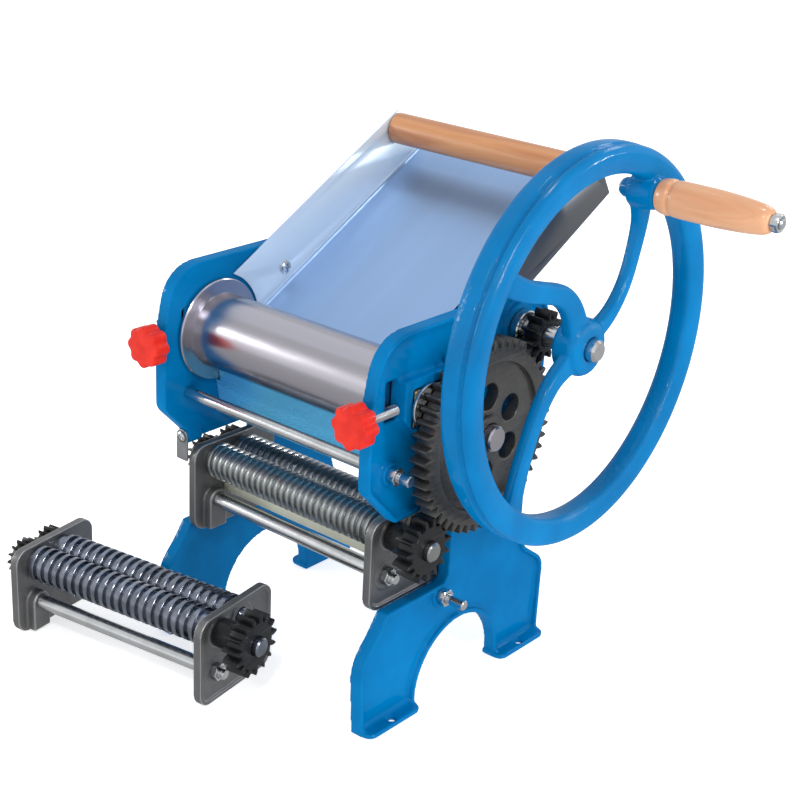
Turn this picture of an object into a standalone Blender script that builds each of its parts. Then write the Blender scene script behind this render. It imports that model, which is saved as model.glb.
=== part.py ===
"""Hand-cranked noodle making machine with a mounted cutter and a spare cutter beside it.

Metres, +Z up. +X points to the hand wheel, -Y to the front, where the noodles come out.
"""

import math

import bmesh
import bpy
from mathutils import Matrix, Vector

# General gaps
SEAT_GAP = 0.0003
END_GAP = 0.0006
SLACK_GAP = 0.0009
OVERRUN = 0.004

# Side frames
INNER_HALF = 0.100
FRAME_THICKNESS = 0.011
WEB_THICKNESS = 0.0070
RIM_WIDTH = 0.0038
BUSH_SEAT_WIDTH = 0.0047
ROD_SEAT_RADIUS = 0.0085
SCREW_SEAT_RADIUS = 0.0055
KNOB_SCREW_SEAT = 0.008
FRAME_HALF_DEPTH = 0.1155
FRAME_HEIGHT = 0.315
FOOT_REACH = 0.009
FOOT_THICKNESS = 0.0045
FOOT_INNER_SHARE = 0.435
FOOT_ROUND_SHARE = 0.55
FOOT_HOLE_RADIUS = 0.0040
ARCH_HALF_WIDTH = 0.0505
ARCH_STRAIGHT = 0.006
ARCH_HEIGHT = 0.058
ARCH_CENTRE_Y = 0.0015
LEDGE_WIDTH = 0.008
LEDGE_HEIGHT = 0.006

# Press rolls
ROLL_RADIUS = 0.030
ROLL_FLANGE_RADIUS = 0.041
ROLL_FLANGE_THICKNESS = 0.0044
REAR_ROLL_Y = -0.0079
REAR_ROLL_Z = 0.2223
ROLL_RISE = 0.0347
CLOSED_GAP = 0.0007
REAR_JOURNAL_RADIUS = 0.010
FRONT_JOURNAL_RADIUS = 0.012
JOURNAL_STUB = 0.007
COLLAR_RADIUS = 0.0175
COLLAR_THICKNESS = 0.0026

# Adjusting screws and bearing blocks
SCREW_PITCH = 0.0015
SCREW_TURNS = 2
SCREW_RADIUS = 0.004
BLOCK_SIDE = 0.028
BLOCK_THICKNESS = 0.015
BLOCK_RING_WIDTH = 0.008
BLOCK_RING_HEIGHT = 0.004
SIGHT_WINDOW_DEPTH = 0.014
SIGHT_WINDOW_HEIGHT = 0.030
KNOB_RADIUS = 0.0165
KNOB_THICKNESS = 0.015
KNOB_LOBES = 8
KNOB_DIP_SHARE = 0.13

# Gears
MAIN_MODULE = 0.003
MAIN_TEETH = 48
PINION_TEETH = 11
PINION_SETBACK = 0.005
PINION_OVERHANG = 0.003
CUTTER_GEAR_TEETH = 15
GEAR_BACKLASH = 0.0007
MAIN_GEAR_GAP = 0.008
MAIN_GEAR_WIDTH = 0.015
MAIN_GEAR_HOLE_RADIUS = 0.0105
MAIN_GEAR_HOLE_CIRCLE = 0.031
MAIN_GEAR_HOLES = 6
MAIN_GEAR_WEB_RECESS = 0.003
MAIN_GEAR_RIM = 0.011
MAIN_GEAR_HUB_RADIUS = 0.017
ROLL_GEAR_MODULE = 0.004
ROLL_GEAR_TEETH = 15
ROLL_GEAR_WIDTH = 0.014

# Crank
SHAFT_Y = 0.052
SHAFT_RADIUS = 0.0085
SHAFT_INNER_RADIUS = 0.0065
SHAFT_STUB = 0.007
SHAFT_TAIL_REACH = 0.013
WHEEL_RADIUS = 0.152
WHEEL_GEAR_GAP = 0.021
WHEEL_WIDTH = 0.026
WHEEL_RIM_DEPTH = 0.022
HUB_RADIUS = 0.022
HUB_BACK_REACH = 0.0015
HUB_LENGTH = 0.0225
SPOKE_SETBACK = 0.0065
SPOKE_THICKNESS = 0.010
HANDLE_OFFSET_Y = 0.060
HANDLE_OFFSET_Z = 0.1075
HANDLE_BOSS_RADIUS = 0.0125
HANDLE_BOSS_REACH = 0.003
HANDLE_LENGTH = 0.091
HANDLE_RADIUS = 0.0138
HANDLE_BOLT_RADIUS = 0.004

# Bushes
BUSH_WALL = 0.004
BUSH_FLANGE = 0.0015
BUSH_FLANGE_THICKNESS = 0.0066

# Tie rods
TIE_ROD_RADIUS = 0.00435
TIE_ROD_BODY_RADIUS = 0.0048
NUT_FLATS = 0.0125
NUT_THICKNESS = 0.0065
UPPER_ROD = (-0.091, 0.211)
LOWER_ROD = (-0.024, 0.0872)
LOWER_ROD_RADIUS = 0.0033
REAR_ROD = (0.070, 0.205)
UPPER_ROD_REACH = 0.018
LOWER_ROD_REACH = 0.023
REAR_ROD_REACH = 0.010

# Feed tray
SHEET = 0.001
TRAY_ANGLE = math.radians(28.5)
TRAY_START_Y = 0.005
TRAY_START_Z = 0.271
TRAY_LENGTH = 0.197
TRAY_LIP = 0.0216
WING_HEIGHT = 0.048
WING_FRAME_GAP = 0.0008
WING_TOP_START = -0.030
WING_TOP_END = 0.187
WING_FLANGE_GAP = 0.0035
TRAY_SCREW = (0.014, 0.292)
TRAY_SCREW_RADIUS = 0.0025
TRAY_SCREW_HEAD_RADIUS = 0.0055
TRAY_SCREW_HEAD = 0.0024
PIN_RADIUS = 0.013
PIN_ALONG = 0.1798
PIN_STUB_RADIUS = 0.004
PIN_STUB_REACH = 0.003

# Scrapers
SCRAPER_SHEET = 0.0015
FRONT_SCRAPER_LOW = (-0.054, 0.183)
FRONT_SCRAPER_LEAN = 0.0035
REAR_SCRAPER_LOW = (-0.044, 0.178)
SCRAPER_ROLL_GAP = 0.0005

# Latch
LATCH_WIDTH = 0.0125
LATCH_SHEET = 0.0015
LATCH_LENGTH = 0.026
LATCH_INSET = 0.0023
LATCH_SCREW_Z = 0.1728
LATCH_SCREW_RADIUS = 0.0022
LATCH_HEAD_RADIUS = 0.0048
LATCH_HEAD = 0.0025
LATCH_BOSS_RADIUS = 0.0064

# Noodle cutters
CUTTER_Y = -0.069
CUTTER_SIDE_GAP = 0.003
CUTTER_PLATE = 0.007
CUTTER_PLATE_DEPTH = 0.090
CUTTER_PLATE_HEIGHT = 0.074
CUTTER_PLATE_CORNER = 0.012
CUTTER_FRONT_REACH = 0.024
CUTTER_TOP_REACH = 0.0158
CUTTER_RIM_WIDTH = 0.004
CUTTER_RIM_DEPTH = 0.0012
CUTTER_BOSS_RADIUS = 0.0125
LUG_RADIUS = 0.009
LUG_THICKNESS = 0.008
SMALL_MODULE = 0.002
SMALL_TEETH = 14
SMALL_GEAR_WIDTH = 0.0115
CUTTER_JOURNAL_RADIUS = 0.0075
CUTTER_RIDGE_RADIUS = 0.015
CUTTER_GROOVE_RADIUS = 0.0124
FINE_RIDGES = 28
WIDE_RIDGES = 21
CUTTER_GEAR_SHIFT = 0.002
CUTTER_GEAR_WIDTH = 0.015
CUTTER_HUB_RADIUS = 0.0115
CUTTER_STUB = 0.005
SPACER_Y = -0.005
SPACER_Z = -0.032
SPACER_RADIUS = 0.006
SPACER_END_RADIUS = 0.0045
SPACER_END_REACH = 0.0095
SPACER_NUT_THICKNESS = 0.0055
STRIP_Y = 0.009
STRIP_Z = -0.0245
STRIP_HEIGHT = 0.013
STRIP_THICKNESS = 0.0015
NOTCH_BACK_Y = -0.016
NOTCH_CLEARANCE = 0.0036
SHOULDER_RISE = 0.004
SPARE_X = -0.100
SPARE_Y = -0.161
SPARE_YAW = math.radians(8.5)

# Shapes of the spokes, as shares of the wheel's radius from the hub's centre: y, z, half width
SPOKE_SHARES = (
    ((0.04, 0.02, 0.055), (0.16, 0.075, 0.045), (0.25, 0.14, 0.038), (0.33, 0.245, 0.034),
     (0.382, 0.38, 0.034), (0.42, 0.55, 0.038), (0.40, 0.69, 0.050)),
    ((-0.03, 0.05, 0.075), (-0.118, 0.22, 0.062), (-0.217, 0.305, 0.055), (-0.36, 0.352, 0.052),
     (-0.52, 0.40, 0.055), (-0.70, 0.487, 0.066), (-0.79, 0.54, 0.085)),
    ((-0.05, -0.03, 0.065), (-0.20, -0.115, 0.050), (-0.28, -0.20, 0.044), (-0.335, -0.29, 0.042),
     (-0.385, -0.40, 0.042), (-0.435, -0.54, 0.046), (-0.475, -0.71, 0.058), (-0.52, -0.80, 0.080)),
)
SPOKE_STEPS = 2

# Section of the wheel's rim: share of its width from the back, share of its depth from the inside
RIM_SHARES = (
    (0.06, 0.62), (0.0, 0.80), (0.05, 0.93), (0.20, 1.0), (0.50, 1.0), (0.64, 0.96),
    (0.69, 0.86), (0.75, 0.93), (0.88, 0.95), (0.98, 0.82), (1.0, 0.55), (0.93, 0.15),
    (0.80, 0.0), (0.30, 0.04),
)

# Turned profile of the handle: share of its length, share of its largest radius
HANDLE_SHARES = (
    (0.0, 0.80), (0.02, 0.93), (0.10, 0.98), (0.125, 0.93), (0.15, 0.98), (0.35, 1.0),
    (0.60, 0.97), (0.82, 0.88), (0.94, 0.80), (0.985, 0.70), (1.0, 0.55),
)

# Side frame outline away from the notch: shares of half depth and height, and corner radius share
FRONT_LOWER_SHARES = ((-0.961, 0.0, 0.0), (-1.0, 0.190, 0.07), (-0.831, 0.262, 0.04))
FRONT_UPPER_SHARES = (
    (-1.0, 0.641, 0.05), (-1.0, 0.830, 0.16), (-0.926, 0.960, 0.05), (-0.820, 1.0, 0.05),
)
REAR_SHARES = (
    (0.66, 1.0, 0.07), (0.775, 0.93, 0.07), (0.765, 0.73, 0.15), (0.658, 0.50, 0.12),
    (0.658, 0.375, 0.08), (0.727, 0.286, 0.04), (0.970, 0.222, 0.06), (0.961, 0.0, 0.0),
)

# Derived places
OUTER = INNER_HALF + FRAME_THICKNESS
WEB_OUTER = INNER_HALF + WEB_THICKNESS
MAIN_GEAR_INNER = OUTER + MAIN_GEAR_GAP
MAIN_GEAR_OUTER = MAIN_GEAR_INNER + MAIN_GEAR_WIDTH
JOURNAL_END = MAIN_GEAR_OUTER + JOURNAL_STUB
SHAFT_TAIL = OUTER + SHAFT_TAIL_REACH
WHEEL_BACK = MAIN_GEAR_OUTER + WHEEL_GEAR_GAP
HUB_BACK = WHEEL_BACK - HUB_BACK_REACH
HUB_END = HUB_BACK + HUB_LENGTH
SHAFT_END = HUB_END + SHAFT_STUB
SPOKE_BACK = WHEEL_BACK + SPOKE_SETBACK
HANDLE_BOSS_END = WHEEL_BACK + WHEEL_WIDTH + HANDLE_BOSS_REACH
WING_OUTER = INNER_HALF - WING_FRAME_GAP
LATCH_X = -OUTER + FRAME_THICKNESS / 2 + LATCH_INSET
CUTTER_HALF_SPAN = INNER_HALF - CUTTER_SIDE_GAP - CUTTER_PLATE
CUTTER_GEAR_INNER = MAIN_GEAR_INNER - CUTTER_GEAR_SHIFT
SPACER_END = CUTTER_HALF_SPAN + CUTTER_PLATE + SPACER_END_REACH
FRAME_MIDDLE = INNER_HALF + FRAME_THICKNESS / 2
TRAVEL = SCREW_PITCH * SCREW_TURNS
CLOSED_RUN = math.sqrt((2 * ROLL_RADIUS + CLOSED_GAP) ** 2 - ROLL_RISE ** 2)
FRONT_ROLL_Y = REAR_ROLL_Y - CLOSED_RUN - TRAVEL
FRONT_ROLL_Z = REAR_ROLL_Z + ROLL_RISE
PINION_DISTANCE = MAIN_MODULE * (MAIN_TEETH + PINION_TEETH) / 2
SHAFT_Z = REAR_ROLL_Z + math.sqrt(PINION_DISTANCE ** 2 - (SHAFT_Y - REAR_ROLL_Y) ** 2)
CUTTER_DISTANCE = MAIN_MODULE * (MAIN_TEETH + CUTTER_GEAR_TEETH) / 2
CUTTER_Z = REAR_ROLL_Z - math.sqrt(CUTTER_DISTANCE ** 2 - (CUTTER_Y - REAR_ROLL_Y) ** 2)
CUTTER_CENTRES = SMALL_MODULE * SMALL_TEETH
CUTTER_OUTER = CUTTER_HALF_SPAN + CUTTER_PLATE
CUTTER_BOTTOM = CUTTER_TOP_REACH - CUTTER_PLATE_HEIGHT
SMALL_TIP = SMALL_MODULE * (SMALL_TEETH / 2 + 1)
NOTCH_BOTTOM = CUTTER_Z + CUTTER_BOTTOM + SHOULDER_RISE
NOTCH_TOP = CUTTER_Z + SMALL_TIP + NOTCH_CLEARANCE
FLANGE_INNER = INNER_HALF - END_GAP - ROLL_FLANGE_THICKNESS
BUSH_END = OUTER + SEAT_GAP + BUSH_FLANGE_THICKNESS
KNOB_BACK_Y = -FRAME_HALF_DEPTH - TRAVEL - SEAT_GAP
BLOCK_WINDOW = BLOCK_SIDE + 2 * SEAT_GAP

ALONG_X = Matrix(((0, 0, 1), (1, 0, 0), (0, 1, 0))).to_4x4()
FACING_FRONT = Matrix(((1, 0, 0), (0, 0, -1), (0, 1, 0))).to_4x4()
SMOOTH_ANGLE = math.radians(35)
WELD = 0.00001


def clear_scene():
    for scene_object in list(bpy.data.objects):
        bpy.data.objects.remove(scene_object, do_unlink=True)


def new_collection(name):
    collection = bpy.data.collections.new(name)
    bpy.context.scene.collection.children.link(collection)
    return collection


def new_material(name, colour, roughness, metallic):
    material = bpy.data.materials.new(name)
    material.use_nodes = True
    shader = material.node_tree.nodes["Principled BSDF"]
    shader.inputs["Base Color"].default_value = (*colour, 1.0)
    shader.inputs["Roughness"].default_value = roughness
    shader.inputs["Metallic"].default_value = metallic
    return material


def finish_of(kind):
    """Colour, roughness and metallic value of each kind of surface."""
    return {
        "enamel": ((0.0, 0.23, 0.62), 0.25, 0.0),
        "chrome": ((0.85, 0.86, 0.88), 0.08, 1.0),
        "steel": ((0.62, 0.64, 0.66), 0.28, 1.0),
        "zinc": ((0.75, 0.76, 0.78), 0.25, 1.0),
        "dark_steel": ((0.10, 0.10, 0.11), 0.40, 0.8),
        "gear_black": ((0.02, 0.02, 0.022), 0.45, 0.6),
        "brass": ((0.65, 0.45, 0.16), 0.30, 1.0),
        "red_plastic": ((0.80, 0.04, 0.02), 0.30, 0.0),
        "wood": ((0.72, 0.38, 0.16), 0.40, 0.0),
        "cream": ((0.85, 0.86, 0.74), 0.45, 0.0),
        "stainless": ((0.70, 0.72, 0.76), 0.22, 1.0),
    }[kind]


def evaluated_mesh(source):
    bpy.context.view_layer.update()
    depsgraph = bpy.context.evaluated_depsgraph_get()
    return bpy.data.meshes.new_from_object(source.evaluated_get(depsgraph))


def weld_and_orient(mesh):
    work = bmesh.new()
    work.from_mesh(mesh)
    bmesh.ops.remove_doubles(work, verts=work.verts, dist=WELD)
    bmesh.ops.dissolve_degenerate(work, edges=work.edges, dist=WELD / 2)
    loose = [edge for edge in work.edges if not edge.link_faces]
    bmesh.ops.delete(work, geom=loose, context="EDGES")
    bmesh.ops.recalc_face_normals(work, faces=work.faces)
    work.to_mesh(mesh)
    work.free()


class Builder:
    """Makes the pieces, each an object of its own in the machine's collection."""

    def __init__(self):
        self.parts = new_collection("noodle_making_machine")
        self.cutters = new_collection("cutters")
        self.holder = bpy.data.objects.new("machine_root", None)
        self.parts.objects.link(self.holder)
        self.root = self.holder

    def place(self, name, mesh, matrix):
        piece = bpy.data.objects.new(name, mesh)
        self.parts.objects.link(piece)
        piece.parent = self.holder
        piece.matrix_local = matrix
        return piece

    def prism(self, name, outlines, low, high, orient=ALONG_X, at=(0, 0, 0)):
        """A flat outline with its holes, extruded from low to high along its normal."""
        curve = bpy.data.curves.new(name, "CURVE")
        curve.dimensions = "2D"
        curve.fill_mode = "BOTH"
        curve.extrude = (high - low) / 2
        for outline in outlines:
            spline = curve.splines.new("POLY")
            spline.points.add(len(outline) - 1)
            for point, (u, v) in zip(spline.points, outline):
                point.co = (u, v, 0, 1)
            spline.use_cyclic_u = True
        sketch = bpy.data.objects.new(name + "_sketch", curve)
        self.cutters.objects.link(sketch)
        mesh = evaluated_mesh(sketch)
        bpy.data.objects.remove(sketch)
        bpy.data.curves.remove(curve)
        mesh.transform(Matrix.Translation((0, 0, (low + high) / 2)))
        weld_and_orient(mesh)
        return self.place(name, mesh, Matrix.Translation(at) @ orient)

    def turned(self, name, profile, steps, orient=ALONG_X, at=(0, 0, 0), closed=False):
        """A profile of (distance along the axis, radius) turned about the axis."""
        mesh = bpy.data.meshes.new(name)
        work = bmesh.new()
        corners = [work.verts.new((radius, 0, along)) for along, radius in profile]
        for first, second in zip(corners, corners[1:]):
            work.edges.new((first, second))
        if closed:
            work.edges.new((corners[-1], corners[0]))
        work.to_mesh(mesh)
        work.free()
        piece = self.place(name, mesh, Matrix.Translation(at) @ orient)
        screw = piece.modifiers.new("turn", "SCREW")
        screw.axis = "Z"
        screw.angle = 2 * math.pi
        screw.steps = steps
        screw.render_steps = steps
        screw.use_merge_vertices = True
        screw.merge_threshold = WELD
        piece.data = evaluated_mesh(piece)
        piece.modifiers.clear()
        weld_and_orient(piece.data)
        piece.data.shade_smooth()
        piece.data.set_sharp_from_angle(angle=SMOOTH_ANGLE)
        return piece

    def box(self, name, low, high):
        """A block between two opposite corners."""
        mesh = bpy.data.meshes.new(name)
        work = bmesh.new()
        bmesh.ops.create_cube(work, size=1)
        size = [b - a for a, b in zip(low, high)]
        middle = [(a + b) / 2 for a, b in zip(low, high)]
        bmesh.ops.scale(work, vec=size, verts=work.verts)
        bmesh.ops.translate(work, vec=middle, verts=work.verts)
        work.to_mesh(mesh)
        work.free()
        return self.place(name, mesh, Matrix())

    def combine(self, piece, tool, operation):
        """Join the tool to the piece or cut it away, and drop the tool."""
        self.parts.objects.unlink(tool)
        self.cutters.objects.link(tool)
        tool.hide_render = True
        tool.display_type = "WIRE"
        modifier = piece.modifiers.new(operation.lower(), "BOOLEAN")
        modifier.operation = operation
        modifier.object = tool
        modifier.solver = "EXACT"
        piece.data = evaluated_mesh(piece)
        piece.modifiers.clear()
        weld_and_orient(piece.data)
        bpy.data.objects.remove(tool)

    def join(self, piece, tool):
        self.combine(piece, tool, "UNION")

    def cut(self, piece, tool):
        self.combine(piece, tool, "DIFFERENCE")

    def dress(self, piece, kind):
        piece.data.materials.clear()
        piece.data.materials.append(new_material(piece.name + "_" + kind, *finish_of(kind)))
        return piece


def circle(centre, radius, sides=16, start=0.0):
    return [(centre[0] + radius * math.cos(start + 2 * math.pi * i / sides),
             centre[1] + radius * math.sin(start + 2 * math.pi * i / sides)) for i in range(sides)]


def bore_circle(centre, radius, sides=12):
    """A circle whose flats, not its corners, lie at the radius, so that a round shaft fits."""
    return circle(centre, radius / math.cos(math.pi / sides), sides)


def rounded(corners, arc_steps=3):
    """A closed outline whose corners (y, z, radius) are rounded with arcs."""
    outline = []
    count = len(corners)
    for index, (y, z, radius) in enumerate(corners):
        here = Vector((y, z))
        before = Vector(corners[index - 1][:2]) - here
        after = Vector(corners[(index + 1) % count][:2]) - here
        if radius <= 0:
            outline.append((y, z))
            continue
        half = before.angle(after) / 2
        reach = min(radius / math.tan(half), before.length * 0.48, after.length * 0.48)
        radius = reach * math.tan(half)
        bisector = (before.normalized() + after.normalized()).normalized()
        centre = here + bisector * (radius / math.sin(half))
        start = here + before.normalized() * reach - centre
        end = here + after.normalized() * reach - centre
        sweep = start.angle_signed(end)
        for step in range(arc_steps + 1):
            turn = -sweep * step / arc_steps
            point = Vector((start.x * math.cos(turn) - start.y * math.sin(turn),
                            start.x * math.sin(turn) + start.y * math.cos(turn)))
            outline.append(tuple(centre + point))
    return outline


def rectangle(low, high, radius=0.0):
    return rounded([(low[0], low[1], radius), (high[0], low[1], radius),
                    (high[0], high[1], radius), (low[0], high[1], radius)])


def tooth_half_angle(radius, pitch_radius, teeth, backlash):
    """Half the angle that a 20 degree involute tooth takes up at a radius."""
    pressure = math.radians(20)
    base = pitch_radius * math.cos(pressure)
    local = math.acos(base / radius) if radius > base else 0.0
    involute = math.tan(pressure) - pressure - (math.tan(local) - local)
    return math.pi / (2 * teeth) + involute - backlash / (2 * pitch_radius)


def gear_outline(module, teeth, phase, backlash=GEAR_BACKLASH):
    pitch = module * teeth / 2
    radii = (pitch - module * 1.25, pitch + module)
    outline = []
    for tooth in range(teeth):
        middle = phase + 2 * math.pi * tooth / teeth
        halves = [tooth_half_angle(radius, pitch, teeth, backlash) for radius in radii]
        flank = list(zip(radii, halves))
        for radius, half in flank:
            outline.append((radius * math.cos(middle - half), radius * math.sin(middle - half)))
        for radius, half in reversed(flank):
            outline.append((radius * math.cos(middle + half), radius * math.sin(middle + half)))
    return outline


def meshing_phase(direction, teeth, other_phase, other_teeth):
    """Phase of a gear whose teeth fall between those of another, seen in a direction from it."""
    other = (direction - other_phase) * other_teeth / (2 * math.pi)
    return direction + math.pi - (0.5 - other) * 2 * math.pi / teeth


def angle_between(start, end):
    return math.atan2(end[1] - start[1], end[0] - start[0])


def span(side, near, far):
    """The ordered pair of X values between near and far on one side of the machine."""
    return tuple(sorted((side * near, side * far)))


def side_name(side):
    return "right" if side > 0 else "left"


def frame_corners():
    """Corners (y, z, radius) of the side frame, from the front foot up and round to the rear foot."""
    depth, height = FRAME_HALF_DEPTH, FRAME_HEIGHT

    def from_shares(shares):
        return [(y * depth, z * height, radius * height) for y, z, radius in shares]

    shoulder_front = CUTTER_Y - CUTTER_FRONT_REACH + CUTTER_BOSS_RADIUS / 2
    tip = CUTTER_Y - CUTTER_JOURNAL_RADIUS * 2
    corner = CUTTER_JOURNAL_RADIUS
    notch = [(shoulder_front, NOTCH_BOTTOM, corner / 2), (NOTCH_BACK_Y, NOTCH_BOTTOM, corner),
             (NOTCH_BACK_Y, NOTCH_TOP, corner), (tip, NOTCH_TOP, corner / 4)]
    return (from_shares(FRONT_LOWER_SHARES) + notch + from_shares(FRONT_UPPER_SHARES)
            + from_shares(REAR_SHARES))


def inset_corners(corners, distance):
    """The corners moved into the outline, each side by the same distance."""
    moved = []
    for index, (y, z, radius) in enumerate(corners):
        here = Vector((y, z))
        before = (here - Vector(corners[index - 1][:2])).normalized()
        after = (Vector(corners[(index + 1) % len(corners)][:2]) - here).normalized()
        normals = [Vector((side.y, -side.x)) for side in (before, after)]
        bisector = (normals[0] + normals[1]).normalized()
        spot = here + bisector * (distance / bisector.dot(normals[0]))
        convex = before.x * after.y - before.y * after.x < 0
        grown = max(radius - distance, distance / 2) if convex else radius + distance
        moved.append((spot.x, spot.y, grown))
    return moved


def arch_points(grow, base):
    """The arch over the legs, from its rear foot to its front foot."""
    half, rise = ARCH_HALF_WIDTH + grow, ARCH_HEIGHT - ARCH_STRAIGHT + grow
    steps = 14
    arch = [(ARCH_CENTRE_Y + half * math.cos(math.pi * step / steps),
             ARCH_STRAIGHT + rise * math.sin(math.pi * step / steps)) for step in range(steps + 1)]
    return [(ARCH_CENTRE_Y + half, base)] + arch + [(ARCH_CENTRE_Y - half, base)]


def front_block_window():
    """The opening that the bearing block slides in: low corner and high corner."""
    low = (FRONT_ROLL_Y - BLOCK_WINDOW / 2, FRONT_ROLL_Z - BLOCK_WINDOW / 2)
    high = (FRONT_ROLL_Y + BLOCK_WINDOW / 2 + TRAVEL, FRONT_ROLL_Z + BLOCK_WINDOW / 2)
    return low, high


def make_frame(build, side):
    name = side_name(side) + "_frame"
    low, high = front_block_window()
    bush_radius = REAR_JOURNAL_RADIUS + BUSH_WALL + 2 * SEAT_GAP
    inner_shaft = SHAFT_RADIUS if side > 0 else SHAFT_INNER_RADIUS
    sight_high = low[0] - BLOCK_RING_WIDTH
    sight_low = sight_high - SIGHT_WINDOW_DEPTH
    sight_z = FRONT_ROLL_Z - SCREW_RADIUS * 1.5
    holes = [
        rectangle(low, high),
        rectangle((sight_low, sight_z), (sight_high, sight_z + SIGHT_WINDOW_HEIGHT), SCREW_RADIUS / 2),
        circle((REAR_ROLL_Y, REAR_ROLL_Z), bush_radius),
        circle((SHAFT_Y, SHAFT_Z), inner_shaft + BUSH_WALL + 2 * SEAT_GAP),
        circle(TRAY_SCREW, TRAY_SCREW_RADIUS + SEAT_GAP, 12),
    ]
    holes += [circle(rod, TIE_ROD_RADIUS + SEAT_GAP) for rod in (UPPER_ROD, REAR_ROD)]
    holes.append(circle(LOWER_ROD, LOWER_ROD_RADIUS + SEAT_GAP))
    outline = rounded(frame_corners()) + arch_points(0.0, 0.0)
    frame = build.prism(name, [outline], *span(side, INNER_HALF, OUTER))
    cut_pocket(build, frame, side, low, high)
    for hole in holes:
        build.cut(frame, build.prism("hole", [hole], *span(side, INNER_HALF - OVERRUN, OUTER + OVERRUN)))
    add_feet(build, frame, side)
    add_block_ring(build, frame, side, low, high)
    add_ledge(build, frame, side)
    cut_screw_hole(build, frame, side, low[0])
    if side < 0:
        add_latch_boss(build, frame)
    return build.dress(frame, "enamel")


def cut_pocket(build, frame, side, low, high):
    """Hollow the outer face to a thin web, leaving the rim and the seats of what the frame carries."""
    corners = inset_corners(frame_corners(), RIM_WIDTH)
    outline = rounded(corners) + arch_points(RIM_WIDTH, RIM_WIDTH)
    pocket = build.prism("pocket", [outline], *span(side, WEB_OUTER, OUTER + OVERRUN))
    shaft = (SHAFT_RADIUS if side > 0 else SHAFT_INNER_RADIUS) + BUSH_WALL + BUSH_FLANGE
    seats = [circle((REAR_ROLL_Y, REAR_ROLL_Z), REAR_JOURNAL_RADIUS + BUSH_WALL + BUSH_FLANGE + BUSH_SEAT_WIDTH),
             circle((SHAFT_Y, SHAFT_Z), shaft + BUSH_SEAT_WIDTH),
             circle(TRAY_SCREW, SCREW_SEAT_RADIUS, 12)]
    seats += [circle(rod, ROD_SEAT_RADIUS) for rod in (UPPER_ROD, LOWER_ROD, REAR_ROD)]
    edge = BLOCK_RING_WIDTH
    seats.append(rectangle((low[0] - edge, low[1] - edge), (high[0] + edge, high[1] + edge), edge / 4))
    front = -FRAME_HALF_DEPTH - OVERRUN
    seats.append(rectangle((front, FRONT_ROLL_Z - KNOB_SCREW_SEAT),
                           (low[0] - edge * 2, FRONT_ROLL_Z + KNOB_SCREW_SEAT)))
    for seat in seats:
        build.cut(pocket, build.prism("seat", [seat], *span(side, INNER_HALF, OUTER + 2 * OVERRUN)))
    build.cut(frame, pocket)


def add_feet(build, frame, side):
    near, far = span(side, INNER_HALF, OUTER + FOOT_REACH)
    edge = -FRONT_LOWER_SHARES[0][0] * FRAME_HALF_DEPTH
    inner = FOOT_INNER_SHARE * FRAME_HALF_DEPTH
    for front in (-1, 1):
        y_low, y_high = sorted((front * edge, front * inner))
        corners = [(near, y_low, 0), (far, y_low, 0), (far, y_high, 0), (near, y_high, 0)]
        radius = FOOT_REACH * FOOT_ROUND_SHARE
        corners = [(x, y, radius if side * x > OUTER else 0) for x, y, _ in corners]
        flat = Matrix.Identity(4)
        foot = build.prism("foot", [rounded(corners)], 0.0, FOOT_THICKNESS, flat)
        build.join(frame, foot)
        hole_x = side * (OUTER + FOOT_REACH / 2)
        hole_y = (y_low + y_high) / 2
        bolt_hole = build.prism("bolt_hole", [circle((hole_x, hole_y), FOOT_HOLE_RADIUS, 16)],
                                -OVERRUN, FOOT_THICKNESS + OVERRUN, flat)
        build.cut(frame, bolt_hole)


def add_block_ring(build, frame, side, low, high):
    """The raised lip round the bearing block on the frame's outer face."""
    edge = BLOCK_RING_WIDTH
    outer = rounded([(low[0] - edge, low[1] + edge, edge / 4), (low[0] + edge, low[1] - edge, edge / 2),
                     (high[0] + edge, low[1] - edge, edge / 4), (high[0] + edge, high[1] + edge, edge / 4),
                     (low[0] - edge, high[1] + edge, edge / 4)])
    ring = build.prism("ring", [outer, rectangle(low, high)],
                       *span(side, OUTER - OVERRUN, OUTER + BLOCK_RING_HEIGHT))
    build.join(frame, ring)


def add_ledge(build, frame, side):
    """The cast ledge on the inner face that the mounted cutter's plate rests on."""
    top = CUTTER_Z + CUTTER_BOTTOM - SEAT_GAP
    front = CUTTER_Y - CUTTER_FRONT_REACH + CUTTER_PLATE_CORNER
    back = LOWER_ROD[0] - LOWER_ROD_RADIUS * 2
    x_low, x_high = span(side, INNER_HALF - LEDGE_WIDTH, INNER_HALF + OVERRUN)
    ledge = build.box("ledge", (x_low, front, top - LEDGE_HEIGHT), (x_high, back, top))
    build.join(frame, ledge)


def cut_screw_hole(build, frame, side, window_front):
    """The hole along Y that carries the adjusting screw to the bearing block."""
    length = window_front + FRAME_HALF_DEPTH + 2 * OVERRUN
    hole = build.turned("screw_hole", [(-OVERRUN, 0), (-OVERRUN, SCREW_RADIUS + SEAT_GAP),
                                       (length, SCREW_RADIUS + SEAT_GAP), (length, 0)], 16,
                        FACING_FRONT, (side * FRAME_MIDDLE, window_front + OVERRUN / 2, FRONT_ROLL_Z))
    build.cut(frame, hole)


def latch_face_y():
    return CUTTER_Y - CUTTER_FRONT_REACH


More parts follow.
